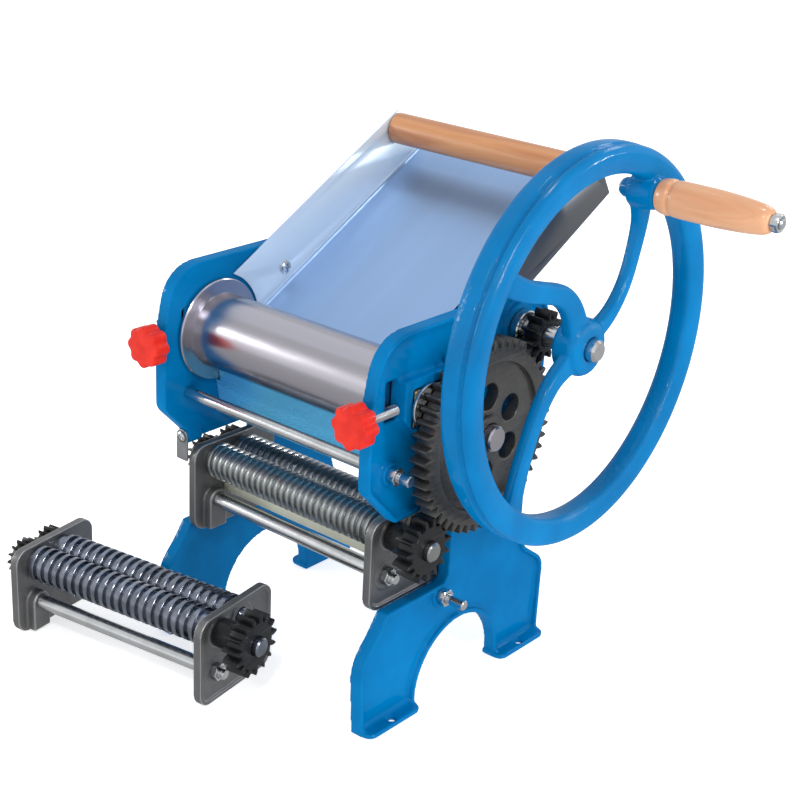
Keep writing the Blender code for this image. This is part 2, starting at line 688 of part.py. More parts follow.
def add_latch_boss(build, frame):
    start = latch_face_y()
    depth = CUTTER_FRONT_REACH - CUTTER_JOURNAL_RADIUS
    boss = build.turned("latch_boss", [(0, 0), (0, LATCH_BOSS_RADIUS), (-depth, LATCH_BOSS_RADIUS),
                                       (-depth, 0)], 20, FACING_FRONT,
                        (-FRAME_MIDDLE, start, LATCH_SCREW_Z))
    build.join(frame, boss)
    hole = build.turned("latch_hole", [(OVERRUN, 0), (OVERRUN, LATCH_SCREW_RADIUS + SEAT_GAP),
                                       (-depth * 0.9, LATCH_SCREW_RADIUS + SEAT_GAP), (-depth * 0.9, 0)],
                        12, FACING_FRONT, (LATCH_X, start, LATCH_SCREW_Z))
    build.cut(frame, hole)


def make_latch(build):
    face = latch_face_y() - SEAT_GAP
    radius = LATCH_WIDTH / 2
    corners = [(-radius, -LATCH_LENGTH + radius, radius / 4), (radius, -LATCH_LENGTH + radius, radius / 4),
               (radius, radius, radius * 0.98), (-radius, radius, radius * 0.98)]
    clip = build.prism("latch_clip", [rounded(corners), circle((0, 0), LATCH_SCREW_RADIUS + SEAT_GAP, 12)],
                       0.0, LATCH_SHEET, FACING_FRONT, (LATCH_X, face, LATCH_SCREW_Z))
    build.dress(clip, "steel")
    head = LATCH_SHEET + SEAT_GAP
    profile = [(-CUTTER_FRONT_REACH / 2, 0), (-CUTTER_FRONT_REACH / 2, LATCH_SCREW_RADIUS),
               (head, LATCH_SCREW_RADIUS), (head, LATCH_HEAD_RADIUS),
               (head + LATCH_HEAD * 0.6, LATCH_HEAD_RADIUS * 0.9),
               (head + LATCH_HEAD, LATCH_HEAD_RADIUS * 0.5), (head + LATCH_HEAD, 0)]
    screw = build.turned("latch_screw", profile, 16, FACING_FRONT, (LATCH_X, face, LATCH_SCREW_Z))
    build.dress(screw, "zinc")


def make_nut(build, name, at, near, thickness, flats, bore, side=1):
    radius = flats / math.sqrt(3)
    nut = build.prism(name, [circle((0, 0), radius, 6), bore_circle((0, 0), bore, 10)],
                      *span(side, near, near + thickness), at=(0, *at))
    return build.dress(nut, "zinc")


def make_tie_rods(build):
    rods = (("upper", UPPER_ROD, UPPER_ROD_REACH, TIE_ROD_RADIUS),
            ("rear", REAR_ROD, REAR_ROD_REACH, TIE_ROD_RADIUS),
            ("lower", LOWER_ROD, LOWER_ROD_REACH, LOWER_ROD_RADIUS))
    shoulder = INNER_HALF - SEAT_GAP
    left_end = OUTER + NUT_THICKNESS + OVERRUN
    for name, at, reach, radius in rods:
        end = OUTER + reach
        profile = [(-left_end, 0), (-left_end, radius), (-shoulder, radius)]
        if radius == TIE_ROD_RADIUS:
            profile += [(-shoulder, TIE_ROD_BODY_RADIUS), (shoulder, TIE_ROD_BODY_RADIUS)]
        profile += [(shoulder, radius), (end, radius), (end, 0)]
        rod = build.turned(name + "_tie_rod", profile, 12, at=(0, *at))
        build.dress(rod, "zinc")
        for side in (-1, 1):
            make_nut(build, name + "_" + side_name(side) + "_nut", at, OUTER + SEAT_GAP,
                     NUT_THICKNESS, NUT_FLATS, radius + SEAT_GAP, side)


def make_bush(build, name, at, bore, side):
    outer = bore + BUSH_WALL
    profile = [(INNER_HALF, bore), (BUSH_END, bore), (BUSH_END, outer + BUSH_FLANGE * 0.8),
               (BUSH_END - BUSH_FLANGE_THICKNESS * 0.3, outer + BUSH_FLANGE),
               (OUTER + SEAT_GAP, outer + BUSH_FLANGE), (OUTER + SEAT_GAP, outer), (INNER_HALF, outer)]
    profile = [(side * x, radius) for x, radius in profile]
    bush = build.turned(name, profile, 16, at=(0, *at), closed=True)
    return build.dress(bush, "steel")


def make_bushes(build):
    for side in (-1, 1):
        label = side_name(side)
        make_bush(build, label + "_roll_bush", (REAR_ROLL_Y, REAR_ROLL_Z),
                  REAR_JOURNAL_RADIUS + SEAT_GAP, side)
        shaft = SHAFT_RADIUS if side > 0 else SHAFT_INNER_RADIUS
        make_bush(build, label + "_shaft_bush", (SHAFT_Y, SHAFT_Z), shaft + SEAT_GAP, side)


def make_rear_roll(build):
    barrel = FLANGE_INNER - SEAT_GAP
    profile = [(-JOURNAL_END, 0), (-JOURNAL_END, REAR_JOURNAL_RADIUS), (-barrel, REAR_JOURNAL_RADIUS),
               (-barrel, ROLL_RADIUS), (barrel, ROLL_RADIUS), (barrel, REAR_JOURNAL_RADIUS),
               (JOURNAL_END, REAR_JOURNAL_RADIUS), (JOURNAL_END, 0)]
    roll = build.turned("rear_roll", profile, 32, at=(0, REAR_ROLL_Y, REAR_ROLL_Z))
    build.dress(roll, "chrome")


def make_front_roll(build):
    flange_outer = FLANGE_INNER + ROLL_FLANGE_THICKNESS
    block_end = INNER_HALF + SEAT_GAP + BLOCK_THICKNESS
    right_end = block_end + SEAT_GAP + COLLAR_THICKNESS
    left_end = MAIN_GEAR_INNER + ROLL_GEAR_WIDTH + SLACK_GAP
    edge = ROLL_FLANGE_THICKNESS / 5
    profile = [(-left_end, 0), (-left_end, FRONT_JOURNAL_RADIUS), (-flange_outer, FRONT_JOURNAL_RADIUS),
               (-flange_outer, ROLL_FLANGE_RADIUS), (-FLANGE_INNER - edge, ROLL_FLANGE_RADIUS),
               (-FLANGE_INNER, ROLL_FLANGE_RADIUS - edge), (-FLANGE_INNER, ROLL_RADIUS)]
    mirrored = [(-x, radius) for x, radius in reversed(profile[2:])]
    profile = profile + mirrored + [(right_end, FRONT_JOURNAL_RADIUS), (right_end, 0)]
    centre = (0, FRONT_ROLL_Y, FRONT_ROLL_Z)
    build.dress(build.turned("front_roll", profile, 32, at=centre), "chrome")
    start = block_end + SEAT_GAP
    bore = FRONT_JOURNAL_RADIUS + SEAT_GAP
    ring = [(start, bore), (start + COLLAR_THICKNESS, bore), (start + COLLAR_THICKNESS, COLLAR_RADIUS),
            (start, COLLAR_RADIUS)]
    build.dress(build.turned("front_roll_collar", ring, 24, at=centre, closed=True), "zinc")


def make_blocks(build):
    bore = FRONT_JOURNAL_RADIUS + SEAT_GAP
    half = BLOCK_SIDE / 2
    for side in (-1, 1):
        near = INNER_HALF + SEAT_GAP
        block = build.prism(side_name(side) + "_bearing_block",
                            [rectangle((-half, -half), (half, half)), bore_circle((0, 0), bore)],
                            *span(side, near, near + BLOCK_THICKNESS), at=(0, FRONT_ROLL_Y, FRONT_ROLL_Z))
        build.dress(block, "brass")


def knob_outline():
    steps = KNOB_LOBES * 6
    outline = []
    for step in range(steps):
        turn = 2 * math.pi * step / steps
        radius = KNOB_RADIUS * (1 - KNOB_DIP_SHARE * (1 - math.cos(KNOB_LOBES * turn)) / 2)
        outline.append((radius * math.cos(turn), radius * math.sin(turn)))
    return outline


def make_knobs(build):
    block_front = FRONT_ROLL_Y - BLOCK_SIDE / 2 - SEAT_GAP
    for side in (-1, 1):
        at = (side * FRAME_MIDDLE, KNOB_BACK_Y, FRONT_ROLL_Z)
        knob = build.prism(side_name(side) + "_knob", [knob_outline()], 0.0, KNOB_THICKNESS, FACING_FRONT, at)
        reach = block_front - KNOB_BACK_Y
        profile = [(-reach, 0), (-reach, SCREW_RADIUS), (OVERRUN, SCREW_RADIUS), (OVERRUN, 0)]
        build.join(knob, build.turned("screw", profile, 12, FACING_FRONT, at))
        build.dress(knob, "red_plastic")


def gear(build, name, outline, bore, at, low, high, kind="gear_black"):
    piece = build.prism(name, [outline, bore_circle((0, 0), bore)], low, high, at=(0, *at))
    return build.dress(piece, kind)


def make_main_gear(build):
    holes = [circle((MAIN_GEAR_HOLE_CIRCLE * math.cos(math.pi * (2 * i + 1) / MAIN_GEAR_HOLES),
                     MAIN_GEAR_HOLE_CIRCLE * math.sin(math.pi * (2 * i + 1) / MAIN_GEAR_HOLES)),
                    MAIN_GEAR_HOLE_RADIUS, 12) for i in range(MAIN_GEAR_HOLES)]
    outline = gear_outline(MAIN_MODULE, MAIN_TEETH, 0.0)
    bore = bore_circle((0, 0), REAR_JOURNAL_RADIUS + SEAT_GAP)
    far = MAIN_GEAR_OUTER
    piece = build.prism("main_gear", [outline, bore] + holes, MAIN_GEAR_INNER, far,
                        at=(0, REAR_ROLL_Y, REAR_ROLL_Z))
    root = MAIN_MODULE * (MAIN_TEETH / 2 - 1.25)
    recess = build.turned("recess", [(far - MAIN_GEAR_WEB_RECESS, MAIN_GEAR_HUB_RADIUS),
                                     (far + OVERRUN, MAIN_GEAR_HUB_RADIUS),
                                     (far + OVERRUN, root - MAIN_GEAR_RIM),
                                     (far - MAIN_GEAR_WEB_RECESS, root - MAIN_GEAR_RIM)], 28,
                          at=(0, REAR_ROLL_Y, REAR_ROLL_Z), closed=True)
    build.cut(piece, recess)
    build.dress(piece, "gear_black")


def make_train(build):
    make_main_gear(build)
    main = (REAR_ROLL_Y, REAR_ROLL_Z)
    shaft = (SHAFT_Y, SHAFT_Z)
    phase = meshing_phase(angle_between(main, shaft), PINION_TEETH, 0.0, MAIN_TEETH)
    gear(build, "drive_pinion", gear_outline(MAIN_MODULE, PINION_TEETH, phase), SHAFT_RADIUS + SEAT_GAP,
         shaft, MAIN_GEAR_INNER + PINION_SETBACK, MAIN_GEAR_OUTER + PINION_OVERHANG)
    front = (FRONT_ROLL_Y, FRONT_ROLL_Z)
    halfway = (FRONT_ROLL_Y + TRAVEL / 2, FRONT_ROLL_Z)
    low, high = span(-1, MAIN_GEAR_INNER, MAIN_GEAR_INNER + ROLL_GEAR_WIDTH)
    gear(build, "rear_roll_gear", gear_outline(ROLL_GEAR_MODULE, ROLL_GEAR_TEETH, 0.0),
         REAR_JOURNAL_RADIUS + SEAT_GAP, main, low, high)
    phase = meshing_phase(angle_between(main, halfway), ROLL_GEAR_TEETH, 0.0, ROLL_GEAR_TEETH)
    gear(build, "front_roll_gear", gear_outline(ROLL_GEAR_MODULE, ROLL_GEAR_TEETH, phase),
         FRONT_JOURNAL_RADIUS + SEAT_GAP, front, low, high)


def smooth_line(points, steps):
    """Points along a smooth curve through the given points of any length."""
    padded = [points[0]] + list(points) + [points[-1]]
    line = []
    for index in range(len(points) - 1):
        a, b, c, d = (Vector(padded[index + k]) for k in range(4))
        for step in range(steps):
            t = step / steps
            line.append(0.5 * (2 * b + (c - a) * t + (2 * a - 5 * b + 4 * c - d) * t * t
                               + (3 * b - a - 3 * c + d) * t ** 3))
    line.append(Vector(points[-1]))
    return line


def ribbon(points):
    """The outline of a band along points (y, z, half width)."""
    left, right = [], []
    for index, point in enumerate(points):
        before = points[max(index - 1, 0)]
        after = points[min(index + 1, len(points) - 1)]
        along = Vector((after[0] - before[0], after[1] - before[1])).normalized()
        across = Vector((-along.y, along.x)) * point[2]
        left.append((point[0] + across.x, point[1] + across.y))
        right.append((point[0] - across.x, point[1] - across.y))
    return left + right[::-1]


def make_hand_wheel(build):
    centre = (0, SHAFT_Y, SHAFT_Z)
    inside = WHEEL_RADIUS - WHEEL_RIM_DEPTH
    rim = [(WHEEL_BACK + along * WHEEL_WIDTH, inside + up * WHEEL_RIM_DEPTH) for along, up in RIM_SHARES]
    wheel = build.turned("hand_wheel", rim, 48, at=centre, closed=True)
    for shares in SPOKE_SHARES:
        line = smooth_line([tuple(share * WHEEL_RADIUS for share in point) for point in shares], SPOKE_STEPS)
        spoke = build.prism("spoke", [ribbon(line)], SPOKE_BACK, SPOKE_BACK + SPOKE_THICKNESS, at=centre)
        build.join(wheel, spoke)
    edge = HUB_RADIUS / 8
    hub = [(HUB_BACK, 0), (HUB_BACK, HUB_RADIUS - edge), (HUB_BACK + edge, HUB_RADIUS),
           (HUB_END - edge, HUB_RADIUS), (HUB_END, HUB_RADIUS - edge), (HUB_END, 0)]
    build.join(wheel, build.turned("hub", hub, 28, at=centre))
    handle_at = handle_centre()
    boss = [(SPOKE_BACK - OVERRUN, 0), (SPOKE_BACK - OVERRUN, HANDLE_BOSS_RADIUS),
            (HANDLE_BOSS_END, HANDLE_BOSS_RADIUS * 0.85), (HANDLE_BOSS_END, 0)]
    build.join(wheel, build.turned("boss", boss, 24, at=handle_at))
    for at, radius in ((centre, SHAFT_RADIUS), (handle_at, HANDLE_BOLT_RADIUS)):
        bore = radius + SEAT_GAP
        hole = [(WHEEL_BACK - OVERRUN * 2, 0), (WHEEL_BACK - OVERRUN * 2, bore),
                (HANDLE_BOSS_END + OVERRUN, bore), (HANDLE_BOSS_END + OVERRUN, 0)]
        build.cut(wheel, build.turned("hole", hole, 24, at=at))
    wheel.data.shade_smooth()
    wheel.data.set_sharp_from_angle(angle=SMOOTH_ANGLE)
    build.dress(wheel, "enamel")


def handle_centre():
    return (0, SHAFT_Y + HANDLE_OFFSET_Y, SHAFT_Z + HANDLE_OFFSET_Z)


def make_handle(build):
    at = handle_centre()
    start = HANDLE_BOSS_END + SEAT_GAP
    end = start + HANDLE_LENGTH
    outer = [(start + along * HANDLE_LENGTH, share * HANDLE_RADIUS) for along, share in HANDLE_SHARES]
    bore = HANDLE_BOLT_RADIUS + SEAT_GAP
    grip = build.turned("wooden_handle", outer + [(end, bore), (start, bore)], 18, at=at, closed=True)
    build.dress(grip, "wood")
    head_face = SPOKE_BACK - OVERRUN - SEAT_GAP
    nut_start = end + SEAT_GAP
    bolt_end = nut_start + NUT_THICKNESS + SLACK_GAP * 2
    profile = [(head_face - NUT_THICKNESS, 0), (head_face - NUT_THICKNESS, NUT_FLATS / 2),
               (head_face, NUT_FLATS / 2), (head_face, HANDLE_BOLT_RADIUS), (bolt_end, HANDLE_BOLT_RADIUS),
               (bolt_end, 0)]
    build.dress(build.turned("handle_bolt", profile, 16, at=at), "zinc")
    make_nut(build, "handle_nut", at[1:], nut_start, NUT_THICKNESS, NUT_FLATS, HANDLE_BOLT_RADIUS + SEAT_GAP)


def make_drive_shaft(build):
    step = INNER_HALF + SEAT_GAP
    profile = [(-SHAFT_TAIL, 0), (-SHAFT_TAIL, SHAFT_INNER_RADIUS), (step, SHAFT_INNER_RADIUS),
               (step, SHAFT_RADIUS), (SHAFT_END - SLACK_GAP, SHAFT_RADIUS),
               (SHAFT_END, SHAFT_RADIUS - SLACK_GAP), (SHAFT_END, 0)]
    build.dress(build.turned("drive_shaft", profile, 20, at=(0, SHAFT_Y, SHAFT_Z)), "zinc")


def tray_point(along, up):
    """A point in the (y, z) plane, along the tray's floor from its start and up from it."""
    cosine, sine = math.cos(TRAY_ANGLE), math.sin(TRAY_ANGLE)
    return (TRAY_START_Y + along * cosine - up * sine, TRAY_START_Z + along * sine + up * cosine)


def wing_outline():
    """The side wing, cut round the front roll's flange."""
    radius = ROLL_FLANGE_RADIUS + WING_FLANGE_GAP
    top = tray_point(WING_TOP_START, WING_HEIGHT)
    low = tray_point(-TRAY_LIP, 0.0)
    centre = (FRONT_ROLL_Y, FRONT_ROLL_Z)
    first, last = angle_between(centre, low), angle_between(centre, top)
    steps = 8
    arc = [(centre[0] + radius * math.cos(first + (last - first) * i / steps),
            centre[1] + radius * math.sin(first + (last - first) * i / steps)) for i in range(1, steps)]
    corner = tray_point(WING_TOP_END, WING_HEIGHT)
    rear = tray_point(TRAY_LENGTH, WING_HEIGHT * 0.75)
    return [low] + arc + [top, corner, rear, tray_point(TRAY_LENGTH, 0.0)]


def make_tray(build):
    floor = [tray_point(-TRAY_LIP, 0.0), tray_point(TRAY_LENGTH, 0.0),
             tray_point(TRAY_LENGTH, SHEET), tray_point(-TRAY_LIP, SHEET)]
    tray = build.prism("feed_tray", [floor], -WING_OUTER, WING_OUTER)
    pin = tray_point(PIN_ALONG, pin_up())
    holes = [circle(TRAY_SCREW, TRAY_SCREW_RADIUS + SEAT_GAP, 12), circle(pin, PIN_STUB_RADIUS + SEAT_GAP, 12)]
    for side in (-1, 1):
        wing = build.prism("wing", [wing_outline()] + holes, *span(side, WING_OUTER - SHEET, WING_OUTER))
        build.join(tray, wing)
        inner = WING_OUTER - SHEET - SEAT_GAP
        profile = [(inner - TRAY_SCREW_HEAD, 0), (inner - TRAY_SCREW_HEAD, TRAY_SCREW_HEAD_RADIUS * 0.5),
                   (inner - TRAY_SCREW_HEAD * 0.4, TRAY_SCREW_HEAD_RADIUS), (inner, TRAY_SCREW_HEAD_RADIUS),
                   (inner, TRAY_SCREW_RADIUS), (OUTER - SEAT_GAP, TRAY_SCREW_RADIUS), (OUTER - SEAT_GAP, 0)]
        profile = [(side * x, radius) for x, radius in profile]
        screw = build.turned("tray_" + side_name(side) + "_screw", profile, 12, at=(0, *TRAY_SCREW))
        build.dress(screw, "zinc")
    build.dress(tray, "stainless")
    half = WING_OUTER - SHEET - END_GAP
    stub = WING_OUTER + PIN_STUB_REACH
    edge = PIN_RADIUS / 8
    profile = [(-stub, 0), (-stub, PIN_STUB_RADIUS), (-half, PIN_STUB_RADIUS), (-half, PIN_RADIUS - edge),
               (-half + edge, PIN_RADIUS)]
    profile = profile + [(-x, radius) for x, radius in reversed(profile)]
    build.dress(build.turned("dough_pin", profile, 20, at=(0, *pin)), "wood")


def pin_up():
    """Height of the dough pin's axis over the tray's floor."""
    return WING_HEIGHT - PIN_RADIUS


def make_scraper(build, name, low, top, shoulder):
    """A thin blade between two points of the (y, z) plane, narrow above the shoulder's height."""
    along = Vector(top) - Vector(low)
    length = along.length
    lean = math.atan2(along.y, along.x)
    step = length * (shoulder - low[1]) / along.y
    wide, narrow = INNER_HALF - SEAT_GAP, FLANGE_INNER - SEAT_GAP
    outline = [(-wide, 0), (wide, 0), (wide, step), (narrow, step), (narrow, length), (-narrow, length),
               (-narrow, step), (-wide, step)]
    orient = Matrix.Rotation(lean, 4, "X")
    half = SCRAPER_SHEET / 2
    blade = build.prism(name, [outline], -half, half, orient, (0, *low))
    return build.dress(blade, "stainless")


def make_scrapers(build):
    radius = ROLL_RADIUS + SCRAPER_ROLL_GAP + SCRAPER_SHEET / 2
    top_y = FRONT_ROLL_Y - FRONT_SCRAPER_LEAN + TRAVEL / 2
    closed_y = FRONT_ROLL_Y + TRAVEL
    top_z = FRONT_ROLL_Z - math.sqrt(radius ** 2 - (top_y - FRONT_ROLL_Y) ** 2)
    closed_z = FRONT_ROLL_Z - math.sqrt(radius ** 2 - (top_y - closed_y) ** 2)
    top = (top_y, min(top_z, closed_z))
    shoulder = FRONT_ROLL_Z - ROLL_FLANGE_RADIUS - SCRAPER_SHEET
    make_scraper(build, "front_scraper", FRONT_SCRAPER_LOW, top, shoulder)
    direction = math.radians(225)
    rear_radius = radius + SCRAPER_ROLL_GAP
    top = (REAR_ROLL_Y + rear_radius * math.cos(direction), REAR_ROLL_Z + rear_radius * math.sin(direction))
    shoulder = REAR_SCRAPER_LOW[1] + (top[1] - REAR_SCRAPER_LOW[1]) / 2
    make_scraper(build, "rear_scraper", REAR_SCRAPER_LOW, top, shoulder)


def ridged_profile(ridges, offset, left_end, right_end):
    """A cutter roll: journals and a barrel with square ridges; offset shifts them by half a pitch."""
    half = CUTTER_HALF_SPAN - SEAT_GAP
    journal = CUTTER_JOURNAL_RADIUS
    pitch = 2 * half / (ridges + 1)
    ridge = pitch / 2 - SEAT_GAP
    profile = [(-left_end, 0), (-left_end, journal), (-half, journal), (-half, CUTTER_GROOVE_RADIUS)]
    for index in range(ridges):
        middle = -half + pitch * (index + 0.75 + offset / 2)
        profile += [(middle - ridge / 2, CUTTER_GROOVE_RADIUS), (middle - ridge / 2, CUTTER_RIDGE_RADIUS),
                    (middle + ridge / 2, CUTTER_RIDGE_RADIUS), (middle + ridge / 2, CUTTER_GROOVE_RADIUS)]
    return profile + [(half, CUTTER_GROOVE_RADIUS), (half, journal), (right_end, journal), (right_end, 0)]


def plate_outline(inset):
    low = (-CUTTER_FRONT_REACH + inset, CUTTER_BOTTOM + inset)
    high = (-CUTTER_FRONT_REACH + CUTTER_PLATE_DEPTH - inset, CUTTER_TOP_REACH - inset)
    return rectangle(low, high, CUTTER_PLATE_CORNER - inset)


def make_cutter_plate(build, name, side):
    bore = CUTTER_JOURNAL_RADIUS + SEAT_GAP
    holes = [bore_circle((0, 0), bore), bore_circle((CUTTER_CENTRES, 0), bore),
             bore_circle((SPACER_Y, SPACER_Z), SPACER_END_RADIUS + SEAT_GAP)]
    plate = build.prism(name, [plate_outline(0.0)] + holes, *span(side, CUTTER_HALF_SPAN, CUTTER_OUTER))
    pocket = build.prism("pocket", [plate_outline(CUTTER_RIM_WIDTH)],
                         *span(side, CUTTER_OUTER - CUTTER_RIM_DEPTH, CUTTER_OUTER + OVERRUN))
    for at in ((0, 0), (CUTTER_CENTRES, 0)):
        low, high = span(side, CUTTER_OUTER - CUTTER_RIM_DEPTH - OVERRUN, CUTTER_OUTER + 2 * OVERRUN)
        keep = build.prism("keep", [circle(at, CUTTER_BOSS_RADIUS, 12)], low, high)
        build.cut(pocket, keep)
    build.cut(plate, pocket)
    add_lug(build, plate, side)
    return build.dress(plate, "dark_steel")


def add_lug(build, plate, side):
    """The thicker inner foot of the plate that the spacer rod's shoulder bears on."""
    steps = 8
    top = [(SPACER_Y + LUG_RADIUS * math.cos(math.pi * step / steps),
            SPACER_Z + LUG_RADIUS * math.sin(math.pi * step / steps)) for step in range(steps + 1)]
    base = [(SPACER_Y - LUG_RADIUS, CUTTER_BOTTOM), (SPACER_Y + LUG_RADIUS, CUTTER_BOTTOM)]
    hole = bore_circle((SPACER_Y, SPACER_Z), SPACER_END_RADIUS + SEAT_GAP)
    inner = CUTTER_HALF_SPAN - LUG_THICKNESS
    build.join(plate, build.prism("lug", [top + base, hole], *span(side, inner, CUTTER_HALF_SPAN)))


def make_cutter(build, prefix, ridges, gear_phase, strip):
    """One cutter unit in its own frame: X along the rolls, the origin on the front roll's axis."""
    for side in (-1, 1):
        make_cutter_plate(build, prefix + side_name(side) + "_plate", side)
    shoulder = CUTTER_HALF_SPAN - LUG_THICKNESS - SEAT_GAP
    profile = [(-SPACER_END, 0), (-SPACER_END, SPACER_END_RADIUS), (-shoulder, SPACER_END_RADIUS),
               (-shoulder, SPACER_RADIUS)]
    profile = profile + [(-x, radius) for x, radius in reversed(profile)]
    rod = build.turned(prefix + "spacer_rod", profile, 16, at=(0, SPACER_Y, SPACER_Z))
    build.dress(rod, "zinc")
    for side in (-1, 1):
        make_nut(build, prefix + side_name(side) + "_nut", (SPACER_Y, SPACER_Z),
                 CUTTER_OUTER - CUTTER_RIM_DEPTH + SEAT_GAP, SPACER_NUT_THICKNESS, NUT_FLATS,
                 SPACER_END_RADIUS + SEAT_GAP, side)
    gear_far = CUTTER_GEAR_INNER + CUTTER_GEAR_WIDTH
    left_end = CUTTER_OUTER + SMALL_GEAR_WIDTH + 2 * END_GAP
    rolls = (("front_roll", 0.0, 0, gear_far + CUTTER_STUB),
             ("rear_roll", CUTTER_CENTRES, 1, CUTTER_OUTER + END_GAP + SLACK_GAP))
    for name, y, offset, right_end in rolls:
        roll = build.turned(prefix + name, ridged_profile(ridges, offset, left_end, right_end), 8,
                            at=(0, y, 0))
        build.dress(roll, "steel")
    bore = CUTTER_JOURNAL_RADIUS + SEAT_GAP
    drive = gear(build, prefix + "drive_gear", gear_outline(MAIN_MODULE, CUTTER_GEAR_TEETH, gear_phase), bore,
                 (0, 0), CUTTER_GEAR_INNER, gear_far)
    start = CUTTER_OUTER + SEAT_GAP
    stop = CUTTER_GEAR_INNER + OVERRUN
    hub = [(start, bore), (stop, bore), (stop, CUTTER_HUB_RADIUS), (start, CUTTER_HUB_RADIUS)]
    build.join(drive, build.turned("hub", hub, 12, closed=True))
    build.dress(drive, "gear_black")
    low, high = span(-1, start, start + SMALL_GEAR_WIDTH)
    gear(build, prefix + "front_gear", gear_outline(SMALL_MODULE, SMALL_TEETH, 0.0), bore, (0, 0), low, high)
    phase = meshing_phase(0.0, SMALL_TEETH, 0.0, SMALL_TEETH)
    gear(build, prefix + "rear_gear", gear_outline(SMALL_MODULE, SMALL_TEETH, phase), bore,
         (CUTTER_CENTRES, 0), low, high)
    if strip:
        half = CUTTER_HALF_SPAN - SEAT_GAP
        blade = build.box(prefix + "strip",
                          (-half, STRIP_Y - STRIP_THICKNESS / 2, STRIP_Z - STRIP_HEIGHT / 2),
                          (half, STRIP_Y + STRIP_THICKNESS / 2, STRIP_Z + STRIP_HEIGHT / 2))
        build.dress(blade, "cream")


def make_cutters(build):
    main = (REAR_ROLL_Y, REAR_ROLL_Z)
    phase = meshing_phase(angle_between(main, (CUTTER_Y, CUTTER_Z)), CUTTER_GEAR_TEETH, 0.0, MAIN_TEETH)
    mounted = Matrix.Translation((0, CUTTER_Y, CUTTER_Z))
    spare = Matrix.Translation((SPARE_X, SPARE_Y, -CUTTER_BOTTOM)) @ Matrix.Rotation(SPARE_YAW, 4, "Z")
    for prefix, matrix, ridges, strip in (("cutter_", mounted, FINE_RIDGES, True),
                                          ("spare_", spare, WIDE_RIDGES, False)):
        holder = bpy.data.objects.new(prefix + "unit", None)
        build.parts.objects.link(holder)
        holder.parent = build.root
        holder.matrix_local = matrix
        build.holder = holder
        make_cutter(build, prefix, ridges, phase, strip)
        build.holder = build.root


def centre_on_origin(build):
    """Put the middle of the whole machine's footprint over the origin, standing on z = 0."""
    bpy.context.view_layer.update()
    corners = [piece.matrix_world @ vertex.co for piece in build.parts.objects if piece.type == "MESH"
               for vertex in piece.data.vertices]
    low = [min(corner[axis] for corner in corners) for axis in range(3)]
    high = [max(corner[axis] for corner in corners) for axis in range(3)]
    build.root.location = (-(low[0] + high[0]) / 2, -(low[1] + high[1]) / 2, -low[2])
    bpy.context.view_layer.update()


def main():
    clear_scene()
    build = Builder()
    for side in (-1, 1):
        make_frame(build, side)
    make_tie_rods(build)
    make_bushes(build)
    make_rear_roll(build)
    make_front_roll(build)
    make_blocks(build)
    make_knobs(build)
    make_train(build)
    make_drive_shaft(build)
    make_hand_wheel(build)
    make_handle(build)
    make_tray(build)
    make_scrapers(build)
    make_latch(build)
    make_cutters(build)
    centre_on_origin(build)


main()
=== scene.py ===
# Hand-cranked noodle machine: cast frames, gear train, press rolls, feed tray and two noodle cutters.
# Shapes are drawn in millimetres from the middle of the machine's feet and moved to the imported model's place.
from math import acos, atan2, cos, pi, radians, sin, sqrt, tan
import bpy
import bmesh
from mathutils import Matrix, Vector


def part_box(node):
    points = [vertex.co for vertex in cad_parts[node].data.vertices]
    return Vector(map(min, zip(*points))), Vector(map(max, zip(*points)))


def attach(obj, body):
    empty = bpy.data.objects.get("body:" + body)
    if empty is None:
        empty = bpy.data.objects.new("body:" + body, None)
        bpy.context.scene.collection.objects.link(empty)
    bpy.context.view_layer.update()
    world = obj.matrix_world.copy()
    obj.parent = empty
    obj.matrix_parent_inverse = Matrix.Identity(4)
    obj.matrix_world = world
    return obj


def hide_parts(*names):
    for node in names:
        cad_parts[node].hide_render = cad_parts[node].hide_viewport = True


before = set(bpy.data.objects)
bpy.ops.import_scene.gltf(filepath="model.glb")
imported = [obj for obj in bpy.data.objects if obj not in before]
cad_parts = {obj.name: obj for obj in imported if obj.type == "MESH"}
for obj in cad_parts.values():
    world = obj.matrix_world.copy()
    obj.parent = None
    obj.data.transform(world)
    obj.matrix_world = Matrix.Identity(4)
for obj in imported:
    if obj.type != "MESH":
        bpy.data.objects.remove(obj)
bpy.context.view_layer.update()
print("packed model loaded")

shaftEnd = {"x": 0.183, "y": 0.052}  # the drive shaft's outer end, in metres from the middle of the feet
shaftLow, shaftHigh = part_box("drive_shaft")
machineOffset = Vector((shaftHigh[0] - shaftEnd["x"], (shaftLow[1] + shaftHigh[1]) / 2 - shaftEnd["y"], 0.0))
toFrame = Matrix.Translation(machineOffset) @ Matrix.Scale(0.001, 4)
# turns for flat and spun shapes, whose depth or axis is drawn along Z
alongX = Matrix(((0, 0, 1), (1, 0, 0), (0, 1, 0))).to_4x4()
alongY = Matrix(((1, 0, 0), (0, 0, 1), (0, 1, 0))).to_4x4()
facingFront = Matrix(((1, 0, 0), (0, 0, -1), (0, 1, 0))).to_4x4()
upright = Matrix.Identity(4)
sideWords = {-1: "left", 1: "right"}


def machineBox(node):
    # a CAD node's lowest and highest corner, in millimetres from the middle of the feet
    low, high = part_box(node)
    return [(Vector(corner) - machineOffset) * 1000 for corner in (low, high)]


def spanX(node):
    return [corner.x for corner in machineBox(node)]


def middleOf(node):
    low, high = machineBox(node)
    return (low + high) / 2


def axisOf(node):
    # where the axis of a turned CAD node along X lies
    low, high = machineBox(node)
    return ((low.y + high.y) / 2, (low.z + high.z) / 2)


looks = {}


def shaderOf(look):
    return look.node_tree.nodes["Principled BSDF"]


def setInputs(node, values):
    for label, value in values.items():
        node.inputs[label].default_value = value


